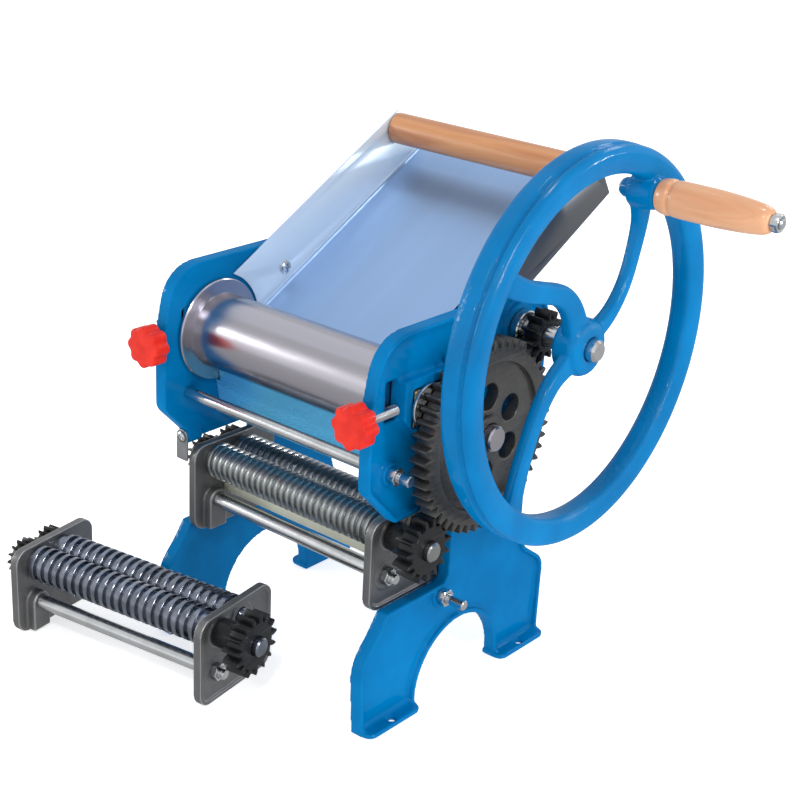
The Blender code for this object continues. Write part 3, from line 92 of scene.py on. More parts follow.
def newLook(name, colour, roughness, metallic=0.0, coat=0.0, coatRoughness=0.05, specular=0.5):
    look = looks[name] = bpy.data.materials.new(name)
    look.use_nodes = True
    setInputs(shaderOf(look), {
        "Base Color": (*colour, 1.0), "Roughness": roughness, "Metallic": metallic, "Coat Weight": coat,
        "Coat Roughness": coatRoughness, "Specular IOR Level": specular})
    return look


def addNoise(look, scale, stretch=(1, 1, 1), **settings):
    # the value of a noise on Object coordinates, with the given number of features per metre
    tree = look.node_tree
    place = tree.nodes.new("ShaderNodeTexCoord")
    mapping = tree.nodes.new("ShaderNodeMapping")
    texture = tree.nodes.new("ShaderNodeTexNoise")
    setInputs(mapping, {"Scale": stretch})
    setInputs(texture, {"Scale": scale, **settings})
    tree.links.new(place.outputs["Object"], mapping.inputs["Vector"])
    tree.links.new(mapping.outputs["Vector"], texture.inputs["Vector"])
    return texture.outputs["Fac"]


def addRamp(look, source, stops):
    ramp = look.node_tree.nodes.new("ShaderNodeValToRGB")
    elements = ramp.color_ramp.elements
    while len(elements) < len(stops):
        elements.new(0.5)
    for element, (position, colour) in zip(elements, stops):
        element.position = position
        element.color = (*colour, 1.0)
    look.node_tree.links.new(source, ramp.inputs["Fac"])
    return ramp.outputs["Color"]


def grey(value):
    return (value, value, value)


def colourFrom(look, source, stops):
    look.node_tree.links.new(addRamp(look, source, stops), shaderOf(look).inputs["Base Color"])


def roughnessFrom(look, source, low, high):
    ramp = addRamp(look, source, [(0.35, grey(low)), (0.65, grey(high))])
    look.node_tree.links.new(ramp, shaderOf(look).inputs["Roughness"])


def bumpFrom(look, sources):
    # sources are (noise, height in metres) pairs, stacked on each other
    tree, below = look.node_tree, None
    for source, height in sources:
        bump = tree.nodes.new("ShaderNodeBump")
        setInputs(bump, {"Strength": 1.0, "Distance": height})
        tree.links.new(source, bump.inputs["Height"])
        if below:
            tree.links.new(below.outputs["Normal"], bump.inputs["Normal"])
        below = bump
    for label in ("Normal", "Coat Normal"):
        tree.links.new(below.outputs["Normal"], shaderOf(look).inputs[label])


def paintEdgeHighlight(look, colour):
    # a painted highlight: brighter metal on outward edges, from the piece's own edge attribute
    tree, colourSocket = look.node_tree, shaderOf(look).inputs["Base Color"]
    edgeReading = tree.nodes.new("ShaderNodeAttribute")
    edgeReading.attribute_name = "edge"
    mask = addRamp(look, edgeReading.outputs["Fac"], [(0.55, grey(0)), (0.8, grey(1))])
    mix = tree.nodes.new("ShaderNodeMix")
    mix.data_type = "RGBA"
    tree.links.new(colourSocket.links[0].from_socket, mix.inputs["A"])
    mix.inputs["B"].default_value = (*colour, 1.0)
    tree.links.new(mask, mix.inputs["Factor"])
    tree.links.new(mix.outputs["Result"], colourSocket)


# scales count features per metre, heights are metres
enamel = {"deep": (0.0, 0.124, 0.325), "light": (0.0, 0.174, 0.435), "roughness": 0.35, "toneScale": 18,
          "swellScale": 70, "swellHeight": 0.0002, "grainScale": 420, "grainHeight": 0.00045, "patchScale": 22}


def enamelLook(name, grainShare, gloss):
    # paint over cast iron, where the grain of the sand mould shows in patches
    look = newLook(name, enamel["deep"], enamel["roughness"], coat=gloss, specular=0.0)
    tree = look.node_tree
    tones = addNoise(look, enamel["toneScale"], Detail=3.0)
    colourFrom(look, tones, [(0.3, enamel["deep"]), (0.7, enamel["light"])])
    lumps = addNoise(look, enamel["grainScale"], Detail=2.0, Roughness=0.55)
    swell = addNoise(look, enamel["swellScale"], Detail=2.0)
    patches = addNoise(look, enamel["patchScale"], Detail=1.0)
    grain = tree.nodes.new("ShaderNodeMath")
    grain.operation = "MULTIPLY"
    tree.links.new(lumps, grain.inputs[0])
    tree.links.new(addRamp(look, patches, [(0.46, grey(0.06)), (0.62, grey(1.0))]), grain.inputs[1])
    bumpFrom(look, [(swell, enamel["swellHeight"] * grainShare),
                    (grain.outputs["Value"], enamel["grainHeight"] * grainShare)])
    return look


def metalLook(name, colour, roughness, spread=0.06, grain=900, height=2e-5, stretch=(1, 1, 1), metallic=1.0,
              shade=0.82):
    # metal whose tone drifts to the darker shade, with a fine grain in its roughness and surface
    look = newLook(name, colour, roughness, metallic)
    tone = addNoise(look, 60, stretch, Detail=4.0)
    darker = tuple(value * shade for value in colour)
    colourFrom(look, tone, [(0.3, darker), (0.7, colour)])
    fine = addNoise(look, grain, stretch, Detail=3.0)
    roughnessFrom(look, fine, roughness - spread, roughness + spread)
    bumpFrom(look, [(fine, height)])
    return look


def woodLook(name, pale, dark, coat):
    # grain and fibres that run along the turned piece
    look = newLook(name, pale, 0.35, coat=coat, coatRoughness=0.12)
    grain = addNoise(look, 55, (0.10, 1, 1), Detail=6.0, Roughness=0.6, Distortion=1.2)
    fibres = addNoise(look, 900, (0.04, 1, 1), Detail=3.0)
    mid = tuple((a + b) / 2 for a, b in zip(pale, dark))
    colourFrom(look, grain, [(0.28, dark), (0.48, mid), (0.62, pale), (0.8, mid)])
    bumpFrom(look, [(fibres, 0.00006), (grain, 0.0001)])
    return look


def plasticLook(name, colour, roughness, deep, light, scale, detail, height, coat, specular):
    look = newLook(name, colour, roughness, coat=coat, specular=specular)
    mottle = addNoise(look, scale, Detail=detail)
    colourFrom(look, mottle, [(0.3, deep), (0.7, light)])
    bumpFrom(look, [(mottle, height)])
    return look


sheetGrain, rollGrain = (1, 0.05, 0.05), (0.1, 1, 1)  # brushed along the slope, turned round the roll
enamelLook("cast_enamel", 1.0, 0.38)
enamelLook("frame_enamel", 0.12, 0.20)
metalLook("roll_chrome", (0.50, 0.485, 0.535), 0.25, 0.02, 300, 4e-7, rollGrain, shade=0.92)
metalLook("bush_steel", (0.72, 0.71, 0.68), 0.2)
# painted reflection: the tray's steel is tinted blue in place of the bluish surroundings it mirrors
metalLook("tray_sheet", (0.31, 0.46, 0.72), 0.36, 0.015, 300, 1.5e-6, sheetGrain, 0.75, 0.95)
# painted reflections on the tray's wings: a dark colour for the right wing's outer face, a pale blue one for the
# left wing's inner face
metalLook("wing_outside_painted_dark_reflection", (0.17, 0.18, 0.20), 0.30, 0.02, 300, 1.5e-6, sheetGrain, shade=0.92)
metalLook("wing_inside_painted_light_reflection", (0.78, 0.90, 1.0), 0.36, 0.015, 300, 1.5e-6, sheetGrain, 0.45, 0.95)
# painted reflection: the steel scrapers get a cyan colour in place of the blue frame they mirror
metalLook("blade_sheet_painted_blue_reflection", (0.12, 0.55, 0.92), 0.26, 0.03, 300, 1e-6, (0.06, 1, 1), 0.55, 0.9)
metalLook("zinc_bright", (0.70, 0.72, 0.74), 0.22, 0.03, 500, 1.5e-6)
metalLook("clip_steel", (0.42, 0.43, 0.45), 0.34, 0.05)
metalLook("fine_roll_steel", (0.42, 0.44, 0.445), 0.30, 0.03, 400, 4e-6)
metalLook("wide_roll_steel", (0.29, 0.32, 0.385), 0.24, 0.06, 160, 8e-6, shade=0.6)
metalLook("cast_grey", (0.185, 0.187, 0.19), 0.42, 0.08, 700, 1e-4, metallic=0.75)
metalLook("gear_black", (0.022, 0.023, 0.025), 0.34, 0.08, 600, 4e-5, metallic=0.6)
metalLook("main_gear_grey", (0.110, 0.108, 0.104), 0.36, 0.09, 400, 8e-5, metallic=0.7)
metalLook("brass_block", (0.62, 0.46, 0.24), 0.30)
woodLook("pin_wood", (0.54, 0.245, 0.10), (0.34, 0.115, 0.04), 0.4)
woodLook("handle_wood", (0.68, 0.36, 0.195), (0.55, 0.25, 0.12), 0.35)
plasticLook("knob_red", (0.62, 0.018, 0.008), 0.36, (0.56, 0.012, 0.006), (0.70, 0.026, 0.012),
            90, 2.0, 2e-4, 0.10, 0.2)
plasticLook("cream_strip", (0.78, 0.80, 0.66), 0.5, (0.70, 0.72, 0.58), (0.82, 0.84, 0.71),
            45, 3.0, 1e-4, 0.0, 0.5)
# painted highlight along the outward edges of the cast plates
paintEdgeHighlight(looks["cast_grey"], (0.50, 0.50, 0.51))
# the looks of the pieces that fill each material slot
print("looks ready")


def addObject(name, data):
    holder = bpy.data.objects.new(name, data)
    bpy.context.scene.collection.objects.link(holder)
    return holder


def takeMesh(scratch):
    # the finished mesh of a scratch object, which is dropped
    bpy.context.view_layer.update()
    mesh = bpy.data.meshes.new_from_object(scratch.evaluated_get(bpy.context.evaluated_depsgraph_get()))
    bpy.data.objects.remove(scratch)
    return mesh


def newMesh(name, work):
    mesh = bpy.data.meshes.new(name)
    work.to_mesh(mesh)
    work.free()
    return mesh


def tidyMesh(mesh):
    # doubled corners merged and all faces turned outwards
    work = bmesh.new()
    work.from_mesh(mesh)
    bmesh.ops.remove_doubles(work, verts=work.verts, dist=0.004)
    bmesh.ops.recalc_face_normals(work, faces=work.faces)
    work.to_mesh(mesh)
    work.free()
    return mesh


def flatShape(outlines, low, high, bevel=0.0, segments=2, turn=alongX, at=(0, 0, 0)):
    # outlines with their holes, given thickness and rounded edges, and moved to (x, y, z) or just (y, z)
    curve = bpy.data.curves.new("sketch", "CURVE")
    curve.dimensions = "2D"
    curve.fill_mode = "BOTH"
    curve.extrude = abs(high - low) / 2 - bevel
    curve.bevel_depth = bevel
    curve.bevel_resolution = segments
    curve.offset = -bevel
    for outline in outlines:
        spline = curve.splines.new("POLY")
        spline.points.add(len(outline) - 1)
        for point, (u, v) in zip(spline.points, outline):
            point.co = (u, v, 0, 1)
        spline.use_cyclic_u = True
    mesh = takeMesh(addObject("sketch", curve))
    bpy.data.curves.remove(curve)
    mesh.transform(Matrix.Translation((0, *at)[-3:]) @ turn @ Matrix.Translation((0, 0, (low + high) / 2)))
    return tidyMesh(mesh)


def turnedShape(profile, steps=64, turn=alongX, at=(0, 0, 0)):
    # a profile of (distance along the axis, radius), spun about the axis, and a closed one if it starts off it
    work = bmesh.new()
    corners = [work.verts.new((radius, 0, along)) for along, radius in profile]
    edges = [work.edges.new(pair) for pair in zip(corners, corners[1:])]
    if profile[0][1] > 0:
        edges.append(work.edges.new((corners[-1], corners[0])))
    bmesh.ops.spin(work, geom=corners + edges, cent=(0, 0, 0), axis=(0, 0, 1), dvec=(0, 0, 0),
                   angle=2 * pi, steps=steps, use_merge=True, use_normal_flip=False, use_duplicate=False)
    mesh = newMesh("turned", work)
    mesh.transform(Matrix.Translation((0, *at)[-3:]) @ turn)
    return tidyMesh(mesh)


def joinMeshes(meshes):
    work = bmesh.new()
    for mesh in meshes:
        work.from_mesh(mesh)
    for mesh in meshes:
        bpy.data.meshes.remove(mesh)
    return newMesh("joined", work)


def carve(mesh, tool):
    # the tool's volume cut out of the mesh
    body, cutter = addObject("carved", mesh), addObject("carver", tool)
    modifier = body.modifiers.new("carve", "BOOLEAN")
    modifier.operation = "DIFFERENCE"
    modifier.object = cutter
    modifier.solver = "EXACT"
    result = takeMesh(body)
    bpy.data.objects.remove(cutter)
    return tidyMesh(result)


def castShape(meshes, voxel, rounds):
    # the solids grown together as one casting, with the soft edges and fillets of a sand mould
    body = addObject("casting", joinMeshes(meshes))
    remesh = body.modifiers.new("grow", "REMESH")
    remesh.mode = "VOXEL"
    remesh.voxel_size = voxel
    soften = body.modifiers.new("soften", "SMOOTH")
    soften.factor = 0.5
    soften.iterations = rounds
    return takeMesh(body)


def markEdges(mesh, reach):
    # an attribute from 0 in hollows to 1 on outward edges, 0.5 where the surface is flat
    work = bmesh.new()
    work.from_mesh(mesh)
    layer = work.verts.layers.float.new("edge")
    work.normal_update()
    for vertex in work.verts:
        others = [edge.other_vert(vertex).co for edge in vertex.link_edges]
        if others:
            middle = sum(others, Vector()) / len(others)
            vertex[layer] = min(max(0.5 + (vertex.co - middle).dot(vertex.normal) / reach, 0.0), 1.0)
    work.to_mesh(mesh)
    work.free()
    return mesh


def placePiece(name, mesh, look, body, nodes=(), sharpAngle=32, place=None):
    # the finished mesh as an object of the scene, on its body and in place of its CAD nodes
    if place is not None:
        mesh.transform(place)
    mesh.transform(toFrame)
    mesh.materials.clear()
    mesh.materials.append(looks[look])
    mesh.shade_smooth()
    if sharpAngle:
        mesh.set_sharp_from_angle(angle=radians(sharpAngle))
    mesh.name = name
    piece = addObject(name, mesh)
    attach(piece, body)
    if nodes:
        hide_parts(*nodes)
    return piece


def arc(centre, radius, first, last, steps):
    turns = [first + (last - first) * k / steps for k in range(steps + 1)]
    return [(centre[0] + radius * cos(turn), centre[1] + radius * sin(turn)) for turn in turns]


def circle(centre, radius, sides=48, start=0.0):
    return arc(centre, radius, start, start + 2 * pi, sides)[:-1]


def mirrored(points):
    # the points and their mirror images to the other side
    return points + [(-along, up) for along, up in reversed(points)]


def rounded(corners, arcSteps=6):
    # a closed outline of (y, z, radius) corners, each rounded by an arc
    outline = []
    for index, (y, z, radius) in enumerate(corners):
        here = Vector((y, z))
        before = Vector(corners[index - 1][:2]) - here
        after = Vector(corners[(index + 1) % len(corners)][:2]) - here
        if radius <= 0:
            outline.append((y, z))
            continue
        half = before.angle(after) / 2
        reach = min(radius / tan(half), before.length * 0.48, after.length * 0.48)
        radius = reach * tan(half)
        centre = here + (before.normalized() + after.normalized()).normalized() * (radius / sin(half))
        start = here + before.normalized() * reach - centre
        end = here + after.normalized() * reach - centre
        sweep = start.angle_signed(end)
        for step in range(arcSteps + 1):
            spot = start.copy()
            spot.rotate(Matrix.Rotation(-sweep * step / arcSteps, 2))
            outline.append(tuple(centre + spot))
    return outline


def roundedPanel(low, high, radius, arcSteps):
    # a rectangle between two corners, all four of them rounded alike
    return rounded([(*low, radius), (high[0], low[1], radius), (*high, radius), (low[0], high[1], radius)],
                   arcSteps)


def box(low, high):
    work = bmesh.new()
    bmesh.ops.create_cube(work, size=1)
    size = [b - a for a, b in zip(low, high)]
    middle = [(a + b) / 2 for a, b in zip(low, high)]
    bmesh.ops.scale(work, vec=size, verts=work.verts)
    bmesh.ops.translate(work, vec=middle, verts=work.verts)
    return newMesh("box", work)


# the side frames: a web with a raised rim, feet and bosses, cast in one
sideFrame = {
    "inner": 100.0, "outer": 111.0, "web": 107.0, "rim": 3.6,
    "outline": [(-111, 0, 0), (-115.5, 60, 40), (-96, 82.5, 12.6), (-86.75, 96, 3.7), (-16, 96, 7.5),
                (-16, 169.8, 7.5), (-84, 169.8, 1.9), (-115.5, 201.9, 15.8), (-115.5, 261.5, 60),
                (-104.4, 315, 36), (76.2, 315, 22), (89.5, 293, 22), (88.4, 230, 47),
                (76, 157.5, 37.8), (76, 118, 25), (84, 90, 12.6), (112, 70, 18.9), (111, 0, 0)],
    "arch": {"y": 1.5, "half": 50.5, "straight": 6.0, "height": 58.0},
    "rollBore": 14.9, "shaftBore": {-1: 11.4, 1: 13.4}, "boreWall": 6, "rodBoss": 8.5,
    "window": {"front": 0.6, "rear": 4.6, "edge": 0.8, "radius": 0.6},  # room round the brass block
    "sight": {"front": 22, "rear": 8, "low": 7.6, "high": 38, "radius": 2},
    "lip": {"width": 8, "height": 3.6, "edge": 0.8},
    "foot": {"far": 111, "near": 50.2, "reach": 120.0, "low": 0.2, "high": 4.5, "corner": 7, "hole": 3.5,
             "holeAt": 113.9, "filletLow": 4.0, "fillet": 3},
    "latchBoss": [(78, 0), (78, 6.4), (93, 6.4), (93, 0)],
    "voxel": 1.3, "rounds": 2,
}


def insetCorners(corners, distance):
    # the corners moved into the outline, each side by the same distance
    moved = []
    for index, (y, z, radius) in enumerate(corners):
        here = Vector((y, z))
        before = (here - Vector(corners[index - 1][:2])).normalized()
        after = (Vector(corners[(index + 1) % len(corners)][:2]) - here).normalized()
        normals = [Vector((way.y, -way.x)) for way in (before, after)]
        bisector = (normals[0] + normals[1]).normalized()
        spot = here + bisector * (distance / bisector.dot(normals[0]))
        convex = before.x * after.y - before.y * after.x < 0
        moved.append((spot.x, spot.y, max(radius - distance, distance / 2) if convex else radius + distance))
    return moved


def sideOutline(inset, base):
    # the frame's outline, or the pocket's when it is drawn inset
    arch = sideFrame["arch"]
    half, rise = arch["half"] + inset, arch["height"] - arch["straight"] + inset
    curve = [(arch["y"] + half * cos(pi * k / 24), arch["straight"] + rise * sin(pi * k / 24))
             for k in range(25)]
    corners = insetCorners(sideFrame["outline"], inset) if inset else sideFrame["outline"]
    return rounded(corners) + [(arch["y"] + half, base)] + curve + [(arch["y"] - half, base)]


def makeSideFrame(side):
    word = sideWords[side]
    inner, outer, web = (side * sideFrame[key] for key in ("inner", "outer", "web"))
    window, sight, lip, foot = (sideFrame[key] for key in ("window", "sight", "lip", "foot"))
    outline, pocket = sideOutline(0, 0), sideOutline(sideFrame["rim"], sideFrame["rim"])
    bores = [(axisOf("rear_roll"), sideFrame["rollBore"]), (axisOf("drive_shaft"), sideFrame["shaftBore"][side])]
    low, high = machineBox(word + "_bearing_block")
    y0, z0 = low.y - window["front"], low.z - window["edge"]
    y1, z1 = high.y + window["rear"], high.z + window["edge"]
    windowOutline = roundedPanel((y0, z0), (y1, z1), window["radius"], 2)
    sightOutline = roundedPanel((y0 - sight["front"], low.z + sight["low"]),
                                (y0 - sight["rear"], low.z + sight["high"]), sight["radius"], 3)
    holes = [circle(at, radius) for at, radius in bores] + [windowOutline, sightOutline]
    solids = [flatShape([outline] + holes, inner, web), flatShape([outline, pocket], inner, outer)]
    for at, radius in bores:
        solids.append(flatShape([circle(at, radius + sideFrame["boreWall"]), circle(at, radius)], inner, outer))
    boss = sideFrame["rodBoss"]
    for rod in ("upper_tie_rod", "lower_tie_rod", "rear_tie_rod"):
        profile = [(inner, 0), (inner, boss), (outer, boss), (outer, 0)]
        solids.append(turnedShape(profile, 32, at=axisOf(rod)))
    # the lip round the brass block, cut away at its lower front corner
    wide = lip["width"]
    lipOutline = rounded([(y0 - wide, z0 + wide, 2), (y0 + wide, z0 - wide, 4), (y1 + wide, z0 - wide, 2),
                          (y1 + wide, z1 + wide, 2), (y0 - wide, z1 + wide, 2)], 4)
    solids.append(flatShape([lipOutline, windowOutline], inner, outer + side * lip["height"], lip["edge"]))
    for front in (-1, 1):
        rear, fore = sorted((front * foot["far"], front * foot["near"]))
        reach, corner = side * foot["reach"], foot["corner"]
        pad = rounded([(inner, rear, 0), (reach, rear, corner), (reach, fore, corner), (inner, fore, 0)])
        hole = circle((side * foot["holeAt"], (rear + fore) / 2), foot["hole"], 24)
        solids.append(flatShape([pad, hole], foot["low"], foot["high"], turn=upright))
        start = foot["filletLow"]
        wedge = [(web, start), (web + side * foot["fillet"], start), (web, start + foot["fillet"])]
        solids.append(flatShape([wedge], rear + 1, fore - 1, turn=alongY))
    if side < 0:
        screw = middleOf("latch_screw")
        solids.append(turnedShape(sideFrame["latchBoss"], 32, turn=facingFront, at=(screw.x, 0, screw.z)))
    mesh = castShape(solids, sideFrame["voxel"], sideFrame["rounds"])
    placePiece(word + "_side_casting", mesh, "frame_enamel", "frame", [word + "_frame"], 0)


for side in sideWords:
    makeSideFrame(side)
print("side frames cast")


# the hand wheel: its rim in shares of width and depth, its spokes as (y, z, half width) in shares of the radius
handWheel = {
    "radius": 151.85, "back": 155.0, "width": 26.0, "depth": 22.0,
    "rimShares": [(0.06, 0.62), (0.0, 0.80), (0.05, 0.93), (0.20, 1.0), (0.48, 1.0), (0.60, 0.96), (0.665, 0.46),
                  (0.73, 0.94), (0.88, 0.95), (0.98, 0.82), (1.0, 0.55), (0.93, 0.15), (0.80, 0.0), (0.30, 0.04)],
    "spokes": [
        [(0.08, 0.05, 0.055), (0.16, 0.075, 0.045), (0.25, 0.14, 0.038), (0.33, 0.245, 0.034),
         (0.382, 0.38, 0.034), (0.42, 0.55, 0.044), (0.41, 0.68, 0.072)],
        [(-0.05, 0.09, 0.075), (-0.118, 0.22, 0.062), (-0.217, 0.305, 0.055), (-0.36, 0.352, 0.052),
         (-0.52, 0.40, 0.055), (-0.70, 0.487, 0.066), (-0.76, 0.52, 0.085), (-0.79, 0.54, 0.11)],
        [(-0.08, -0.05, 0.065), (-0.20, -0.115, 0.050), (-0.28, -0.20, 0.044), (-0.335, -0.29, 0.042),
         (-0.385, -0.40, 0.042), (-0.435, -0.54, 0.046), (-0.475, -0.69, 0.055), (-0.51, -0.76, 0.075),
         (-0.53, -0.81, 0.11)]],
    "spokeBack": 161.0, "spokeFront": 171.5, "spokeEdge": 3.2,
    "hub": [(153.5, 9.0), (153.5, 19), (156, 21.8), (170, 22.2), (174, 20), (176, 15), (176, 9.0)],
    "gripBoss": [(159, 8), (161, 12.5), (172, 13), (181, 12), (184, 11), (184, 4.5)],
    "voxel": 1.35, "rounds": 3,
}


def smoothLine(points, steps):
    # a smooth curve through the points
    padded = [points[0]] + list(points) + [points[-1]]
    line = []
    for index in range(len(points) - 1):
        a, b, c, d = (Vector(padded[index + k]) for k in range(4))
        for step in range(steps):
            t = step / steps
            line.append(0.5 * (2 * b + (c - a) * t + (2 * a - 5 * b + 4 * c - d) * t * t
                               + (3 * b - a - 3 * c + d) * t ** 3))
    return line + [Vector(points[-1])]


def bandOutline(points):
    # the outline of a band along (y, z, half width) points
    left, right = [], []
    for index, point in enumerate(points):
        before, after = points[max(index - 1, 0)], points[min(index + 1, len(points) - 1)]
        along = Vector((after[0] - before[0], after[1] - before[1])).normalized()
        across = Vector((-along.y, along.x)) * point[2]
        left.append((point[0] + across.x, point[1] + across.y))
        right.append((point[0] - across.x, point[1] - across.y))
    return left + right[::-1]


def makeHandWheel():
    centre, grip = axisOf("drive_shaft"), axisOf("wooden_handle")
    radius, depth = handWheel["radius"], handWheel["depth"]
    rim = [(handWheel["back"] + along * handWheel["width"], radius - depth + up * depth, 0)
           for along, up in handWheel["rimShares"]]
    rim = [(point.x, point.y) for point in smoothLine(rim + rim[:1], 3)[:-1]]
    solids = [turnedShape(rim, 160, at=centre)]
    for shares in handWheel["spokes"]:
        line = smoothLine([tuple(share * radius for share in point) for point in shares], 5)
        solids.append(flatShape([bandOutline(line)], handWheel["spokeBack"], handWheel["spokeFront"],
                                handWheel["spokeEdge"], 3, at=centre))
    solids.append(turnedShape(handWheel["hub"], 64, at=centre))
    back = machineBox("handle_bolt")[0].x + 1.5
    boss = [(back, 4.5), (back, 6.6), (back + 1, 7.4)] + handWheel["gripBoss"]
    solids.append(turnedShape(boss, 48, at=grip))
    mesh = castShape(solids, handWheel["voxel"], handWheel["rounds"])
    placePiece("crank_wheel_casting", mesh, "cast_enamel", "crank", ["hand_wheel"], 0)


makeHandWheel()
print("hand wheel cast")


def toothHalfAngle(radius, pitchRadius, teeth, backlash):
    # half the angle that an involute tooth takes up at a radius
    pressure = radians(20)
    base = pitchRadius * cos(pressure)
    local = acos(base / radius) if radius > base else 0.0
    involute = tan(pressure) - pressure - (tan(local) - local)
    return pi / (2 * teeth) + involute - backlash / (2 * pitchRadius)


def gearOutline(module, teeth, phase, backlash=0.9):
    pitch = module * teeth / 2
    radii = [pitch - module * 1.2, pitch - module * 0.5, pitch, pitch + module * 0.5, pitch + module * 0.97]
    flank = [(radius, toothHalfAngle(radius, pitch, teeth, backlash)) for radius in radii]
    outline = []
    for tooth in range(teeth):
        middle = phase + 2 * pi * tooth / teeth
        for radius, half in flank:
            outline.append((radius * cos(middle - half), radius * sin(middle - half)))
        for radius, half in reversed(flank):
            outline.append((radius * cos(middle + half), radius * sin(middle + half)))
    return outline


def angleBetween(start, end):
    return atan2(end[1] - start[1], end[0] - start[0])


def meshingPhase(direction, teeth, otherTeeth):
    # the turn of a gear whose teeth stand in the gaps of another one that is drawn unturned
    other = direction * otherTeeth / (2 * pi)
    return direction + pi - (0.5 - other) * 2 * pi / teeth


mainGear = {"module": 3.0, "teeth": 48, "low": 119.0, "high": 134.0, "bore": 10.3, "rim": 58.0,
            "hub": [(119, 10.3), (133, 10.3), (134, 11.3), (134, 16), (133, 17), (119, 17)],
            "hole": 10.5, "holeCircle": 31.0, "holes": 6}
pinionGear = {"teeth": 11, "bore": 8.8, "backlash": 1.0}
rollGears = {"module": 4.0, "teeth": 15, "low": -133.0, "high": -119.0, "backlash": 1.0, "halfGap": 1.5,
             "rearBore": 10.3, "frontBore": 12.3}


def makePressGears():
    main, shaft, front = axisOf("rear_roll"), axisOf("drive_shaft"), axisOf("front_roll")
    module, low, high, bore, rim = (mainGear[key] for key in ("module", "low", "high", "bore", "rim"))
    teeth = flatShape([gearOutline(module, mainGear["teeth"], 0.0), circle((0, 0), rim, 96)], low, high, 0.35, 1,
                      at=main)
    spots = circle((0, 0), mainGear["holeCircle"], mainGear["holes"], pi / mainGear["holes"])
    holes = [circle(spot, mainGear["hole"], 40) for spot in spots]
    web = flatShape([circle((0, 0), rim + 0.6, 96), circle((0, 0), bore)] + holes, low + 1.5, high - 3, 0.6, 2,
                    at=main)
    mesh = joinMeshes([teeth, web, turnedShape(mainGear["hub"], 64, at=main)])
    placePiece("main_gear_wheel", mesh, "main_gear_grey", "rear_roll_set", ["main_gear"])
    phase = meshingPhase(angleBetween(main, shaft), pinionGear["teeth"], mainGear["teeth"])
    outline = gearOutline(module, pinionGear["teeth"], phase, pinionGear["backlash"])
    bore = circle((0, 0), pinionGear["bore"])
    pinion = flatShape([outline, bore], *spanX("drive_pinion"), 0.4, 1, at=shaft)
    placePiece("crank_pinion", pinion, "gear_black", "crank", ["drive_pinion"])
    # the front roll's gear meshes best halfway through the range of the gap
    teeth = rollGears["teeth"]
    phase = meshingPhase(angleBetween(main, (front[0] + rollGears["halfGap"], front[1])), teeth, teeth)
    for word, at, turned in (("rear", main, 0.0), ("front", front, phase)):
        outline = gearOutline(rollGears["module"], teeth, turned, rollGears["backlash"])
        mesh = flatShape([outline, circle((0, 0), rollGears[word + "Bore"])], rollGears["low"], rollGears["high"],
                         0.5, 1, at=at)
        placePiece(word + "_roll_gear_wheel", mesh, "gear_black", word + "_roll_set", [word + "_roll_gear"])


makePressGears()
print("gear train cut")


def threadProfile(start, end, radius, pitch=1.25, depth=0.42):
    # the outline of a thread between two places along the axis
    count = max(int(abs(end - start) / pitch), 1)
    step = (end - start) / count
    profile = []
    for k in range(count):
        profile += [(start + step * (k + 0.1), radius - depth), (start + step * (k + 0.4), radius),
                    (start + step * (k + 0.6), radius), (start + step * (k + 0.9), radius - depth)]
    return profile


nutRadius = 12.5 / sqrt(3)  # all nuts are 12.5 mm across flats


def hexNut(at, near, far, bore):
    # a chamfered nut: a hexagonal prism trimmed by a shallow cone at both ends
    low, high = sorted((near, far))
    prism = flatShape([circle((0, 0), nutRadius, 6), circle((0, 0), bore, 32)], low, high, 0.25, 1, at=at)
    for end, inward in ((low, 1), (high, -1)):
        inner, outer = end + inward * 1.3, end - inward * 2
        cone = [(outer, nutRadius * 0.86), (end, nutRadius * 0.86), (inner, nutRadius + 0.4),
                (inner, nutRadius + 4), (outer, nutRadius + 4)]
        prism = carve(prism, turnedShape(cone, 48, at=at))
    return prism


# the radii of each tie rod's threaded ends and of its body between the frames
tieRods = {"radii": {"upper": (4.35, 4.8), "lower": (4.0, 4.0), "rear": (4.35, 4.8)}, "shoulder": 99.7,
           "thread": (111.0, 121.0), "threadDepth": 0.25, "tip": 0.8}


def makeRods():
    shoulder, tip = tieRods["shoulder"], tieRods["tip"]
    for word, (radius, body) in tieRods["radii"].items():
        rod = word + "_tie_rod"
        at, (low, high) = axisOf(rod), spanX(rod)
        profile = [(low, 0), (low, radius - tip), (low + tip, radius)]
        profile += [(-shoulder, radius), (-shoulder, body), (shoulder, body), (shoulder, radius)]
        profile += threadProfile(*tieRods["thread"], radius, depth=tieRods["threadDepth"])
        profile += [(high - tip, radius), (high, radius - tip), (high, 0)]
        placePiece(word + "_tie_bar", turnedShape(profile, 40, at=at), "zinc_bright", "frame", [rod])
        for side in sideWords.values():
            node = word + "_" + side + "_nut"
            placePiece(node + "_hex", hexNut(at, *spanX(node), radius + 0.3), "zinc_bright", "frame", [node])


makeRods()
print("tie rods in")


# bush profiles give radii above the bore, and the front roll's left flange is mirrored to the right
bushes = {"bores": {"roll": {-1: 10.3, 1: 10.3}, "shaft": {-1: 6.8, 1: 8.8}},
          "profile": [(100, 0), (117.4, 0), (117.9, 0.5), (117.9, 4.7), (117.1, 5.5), (111.4, 5.5), (111.4, 4),
                      (100, 4)]}
driveShaft = {"profile": [(-124, 0), (-124, 5.7), (-123.2, 6.5), (100.3, 6.5), (100.3, 8.5), (181.2, 8.5),
                          (183, 6.9), (183, 0)]}
rearRoll = {"profile": [(-141, 0), (-141, 9), (-140, 10), (-94.7, 10), (-94.7, 29.4), (-94.1, 30), (94.1, 30),
                        (94.7, 29.4), (94.7, 10), (139.6, 10), (141, 8.8), (141, 0)]}
frontRoll = {"shaft": 12, "tip": 11, "collar": 17.5, "collarEdge": 0.6, "bore": 12.3,
             "flange": [(-99.4, 12), (-99.4, 40.2), (-98.6, 41), (-96.6, 41), (-95.6, 40.2), (-95.1, 37),
                        (-95.0, 30.5), (-94.8, 30)]}


